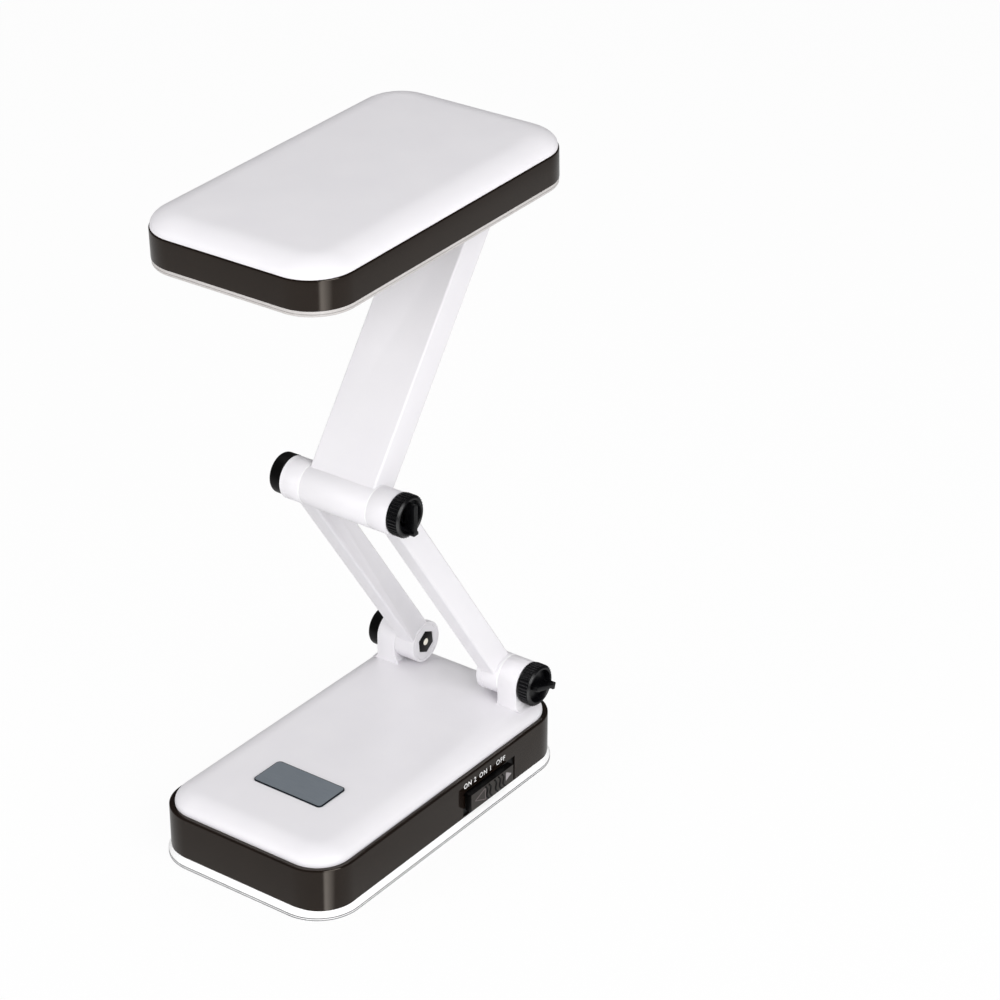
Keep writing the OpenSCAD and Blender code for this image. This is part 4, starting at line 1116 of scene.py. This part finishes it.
def makeScrews():
    # screws with a cross recess, heads down; each set is level, so the head's pitch isn't followed
    for node, size in screws.items():
        low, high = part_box(node)
        wide = 2 * size["headRadius"] * mm
        mesh = grown(screwTree, {
            "Width": high[0] - low[0] - wide, "Length": high[1] - low[1] - wide,
            "Head Radius": size["headRadius"] * mm, "Head Height": size["headHeight"] * mm,
            "Shank Radius": size["shankRadius"] * mm, "Shank Length": size["shankLength"] * mm,
            "Material": zincSteel})
        middle = Matrix.Translation(((low[0] + high[0]) / 2, (low[1] + high[1]) / 2,
                                     low[2] + size["headHeight"] / 2 * mm))
        mesh.transform(middle @ Matrix.Rotation(math.pi, 4, "X"))
        standIn(node, mesh, zincSteel)


lights = {"columns": 3, "rows": 8, "radius": 2.4, "length": 6.6}


def makeLeds():
    # epoxy beads in rows, domes down; the rows are level, so the head's pitch isn't followed
    low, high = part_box("leds")
    radius = lights["radius"] * mm
    mesh = grown(ledTree, {
        "Columns": lights["columns"], "Rows": lights["rows"], "Width": high[0] - low[0] - 2 * radius,
        "Length": high[1] - low[1] - 2 * radius, "Bead Radius": radius, "Bead Length": lights["length"] * mm,
        "Material": phosphor})
    mesh.transform(Matrix.Translation(((low[0] + high[0]) / 2, (low[1] + high[1]) / 2, low[2] + radius)))
    standIn("leds", mesh, phosphor)


makeCasings()
print("casings made")
makeSwitch()
makeLegend()
makeBadge()
makeHingeTrim()
makeCover()
makeScrews()
makeLeds()
print("switch, badge, hinge trim, screws and lights made")

finishes = {  # the other nodes: finish, and width of the rounded edges in mm
    "rubber_feet": (rubber, 0.3),
    "battery_door": (lightenedWhite, 0.2), "battery_cells": (sleeve, 0.4), "battery_contacts": (zincSteel, 0.1),
    "control_board": (greenBoard, 0.1), "slide_switch": (zincSteel, 0.2),
    "left_leg": (whiteAbs, 0.45), "right_leg": (whiteAbs, 0.45), "base_hinge_nuts": (blackSatin, 0.2),
    "left_base_bolt": (zincSteel, 0.3), "right_base_bolt": (zincSteel, 0.3),
    "mid_bolt": (zincSteel, 0.2), "mid_nut": (brass, 0.2),
    "upper_arm": (whiteAbs, 0.45), "upper_arm_cover": (lightenedWhite, 0.2), "upper_arm_screws": (zincSteel, 0.15),
    "head_bracket": (whiteAbs, 0.3), "head_hinge_screw": (zincSteel, 0.2), "head_hinge_nut": (zincSteel, 0.2),
    "head_washers": (fibre, 0.1), "bracket_screws": (zincSteel, 0.1), "reflector_plate": (lightenedWhite, 0.15),
    "led_board": (whiteBoard, 0.1), "lens_cover": (clearPlastic, 0.35),
}
for nodeName, (material, width) in finishes.items():
    softenNode(nodeName, material, width)
print("pieces made")
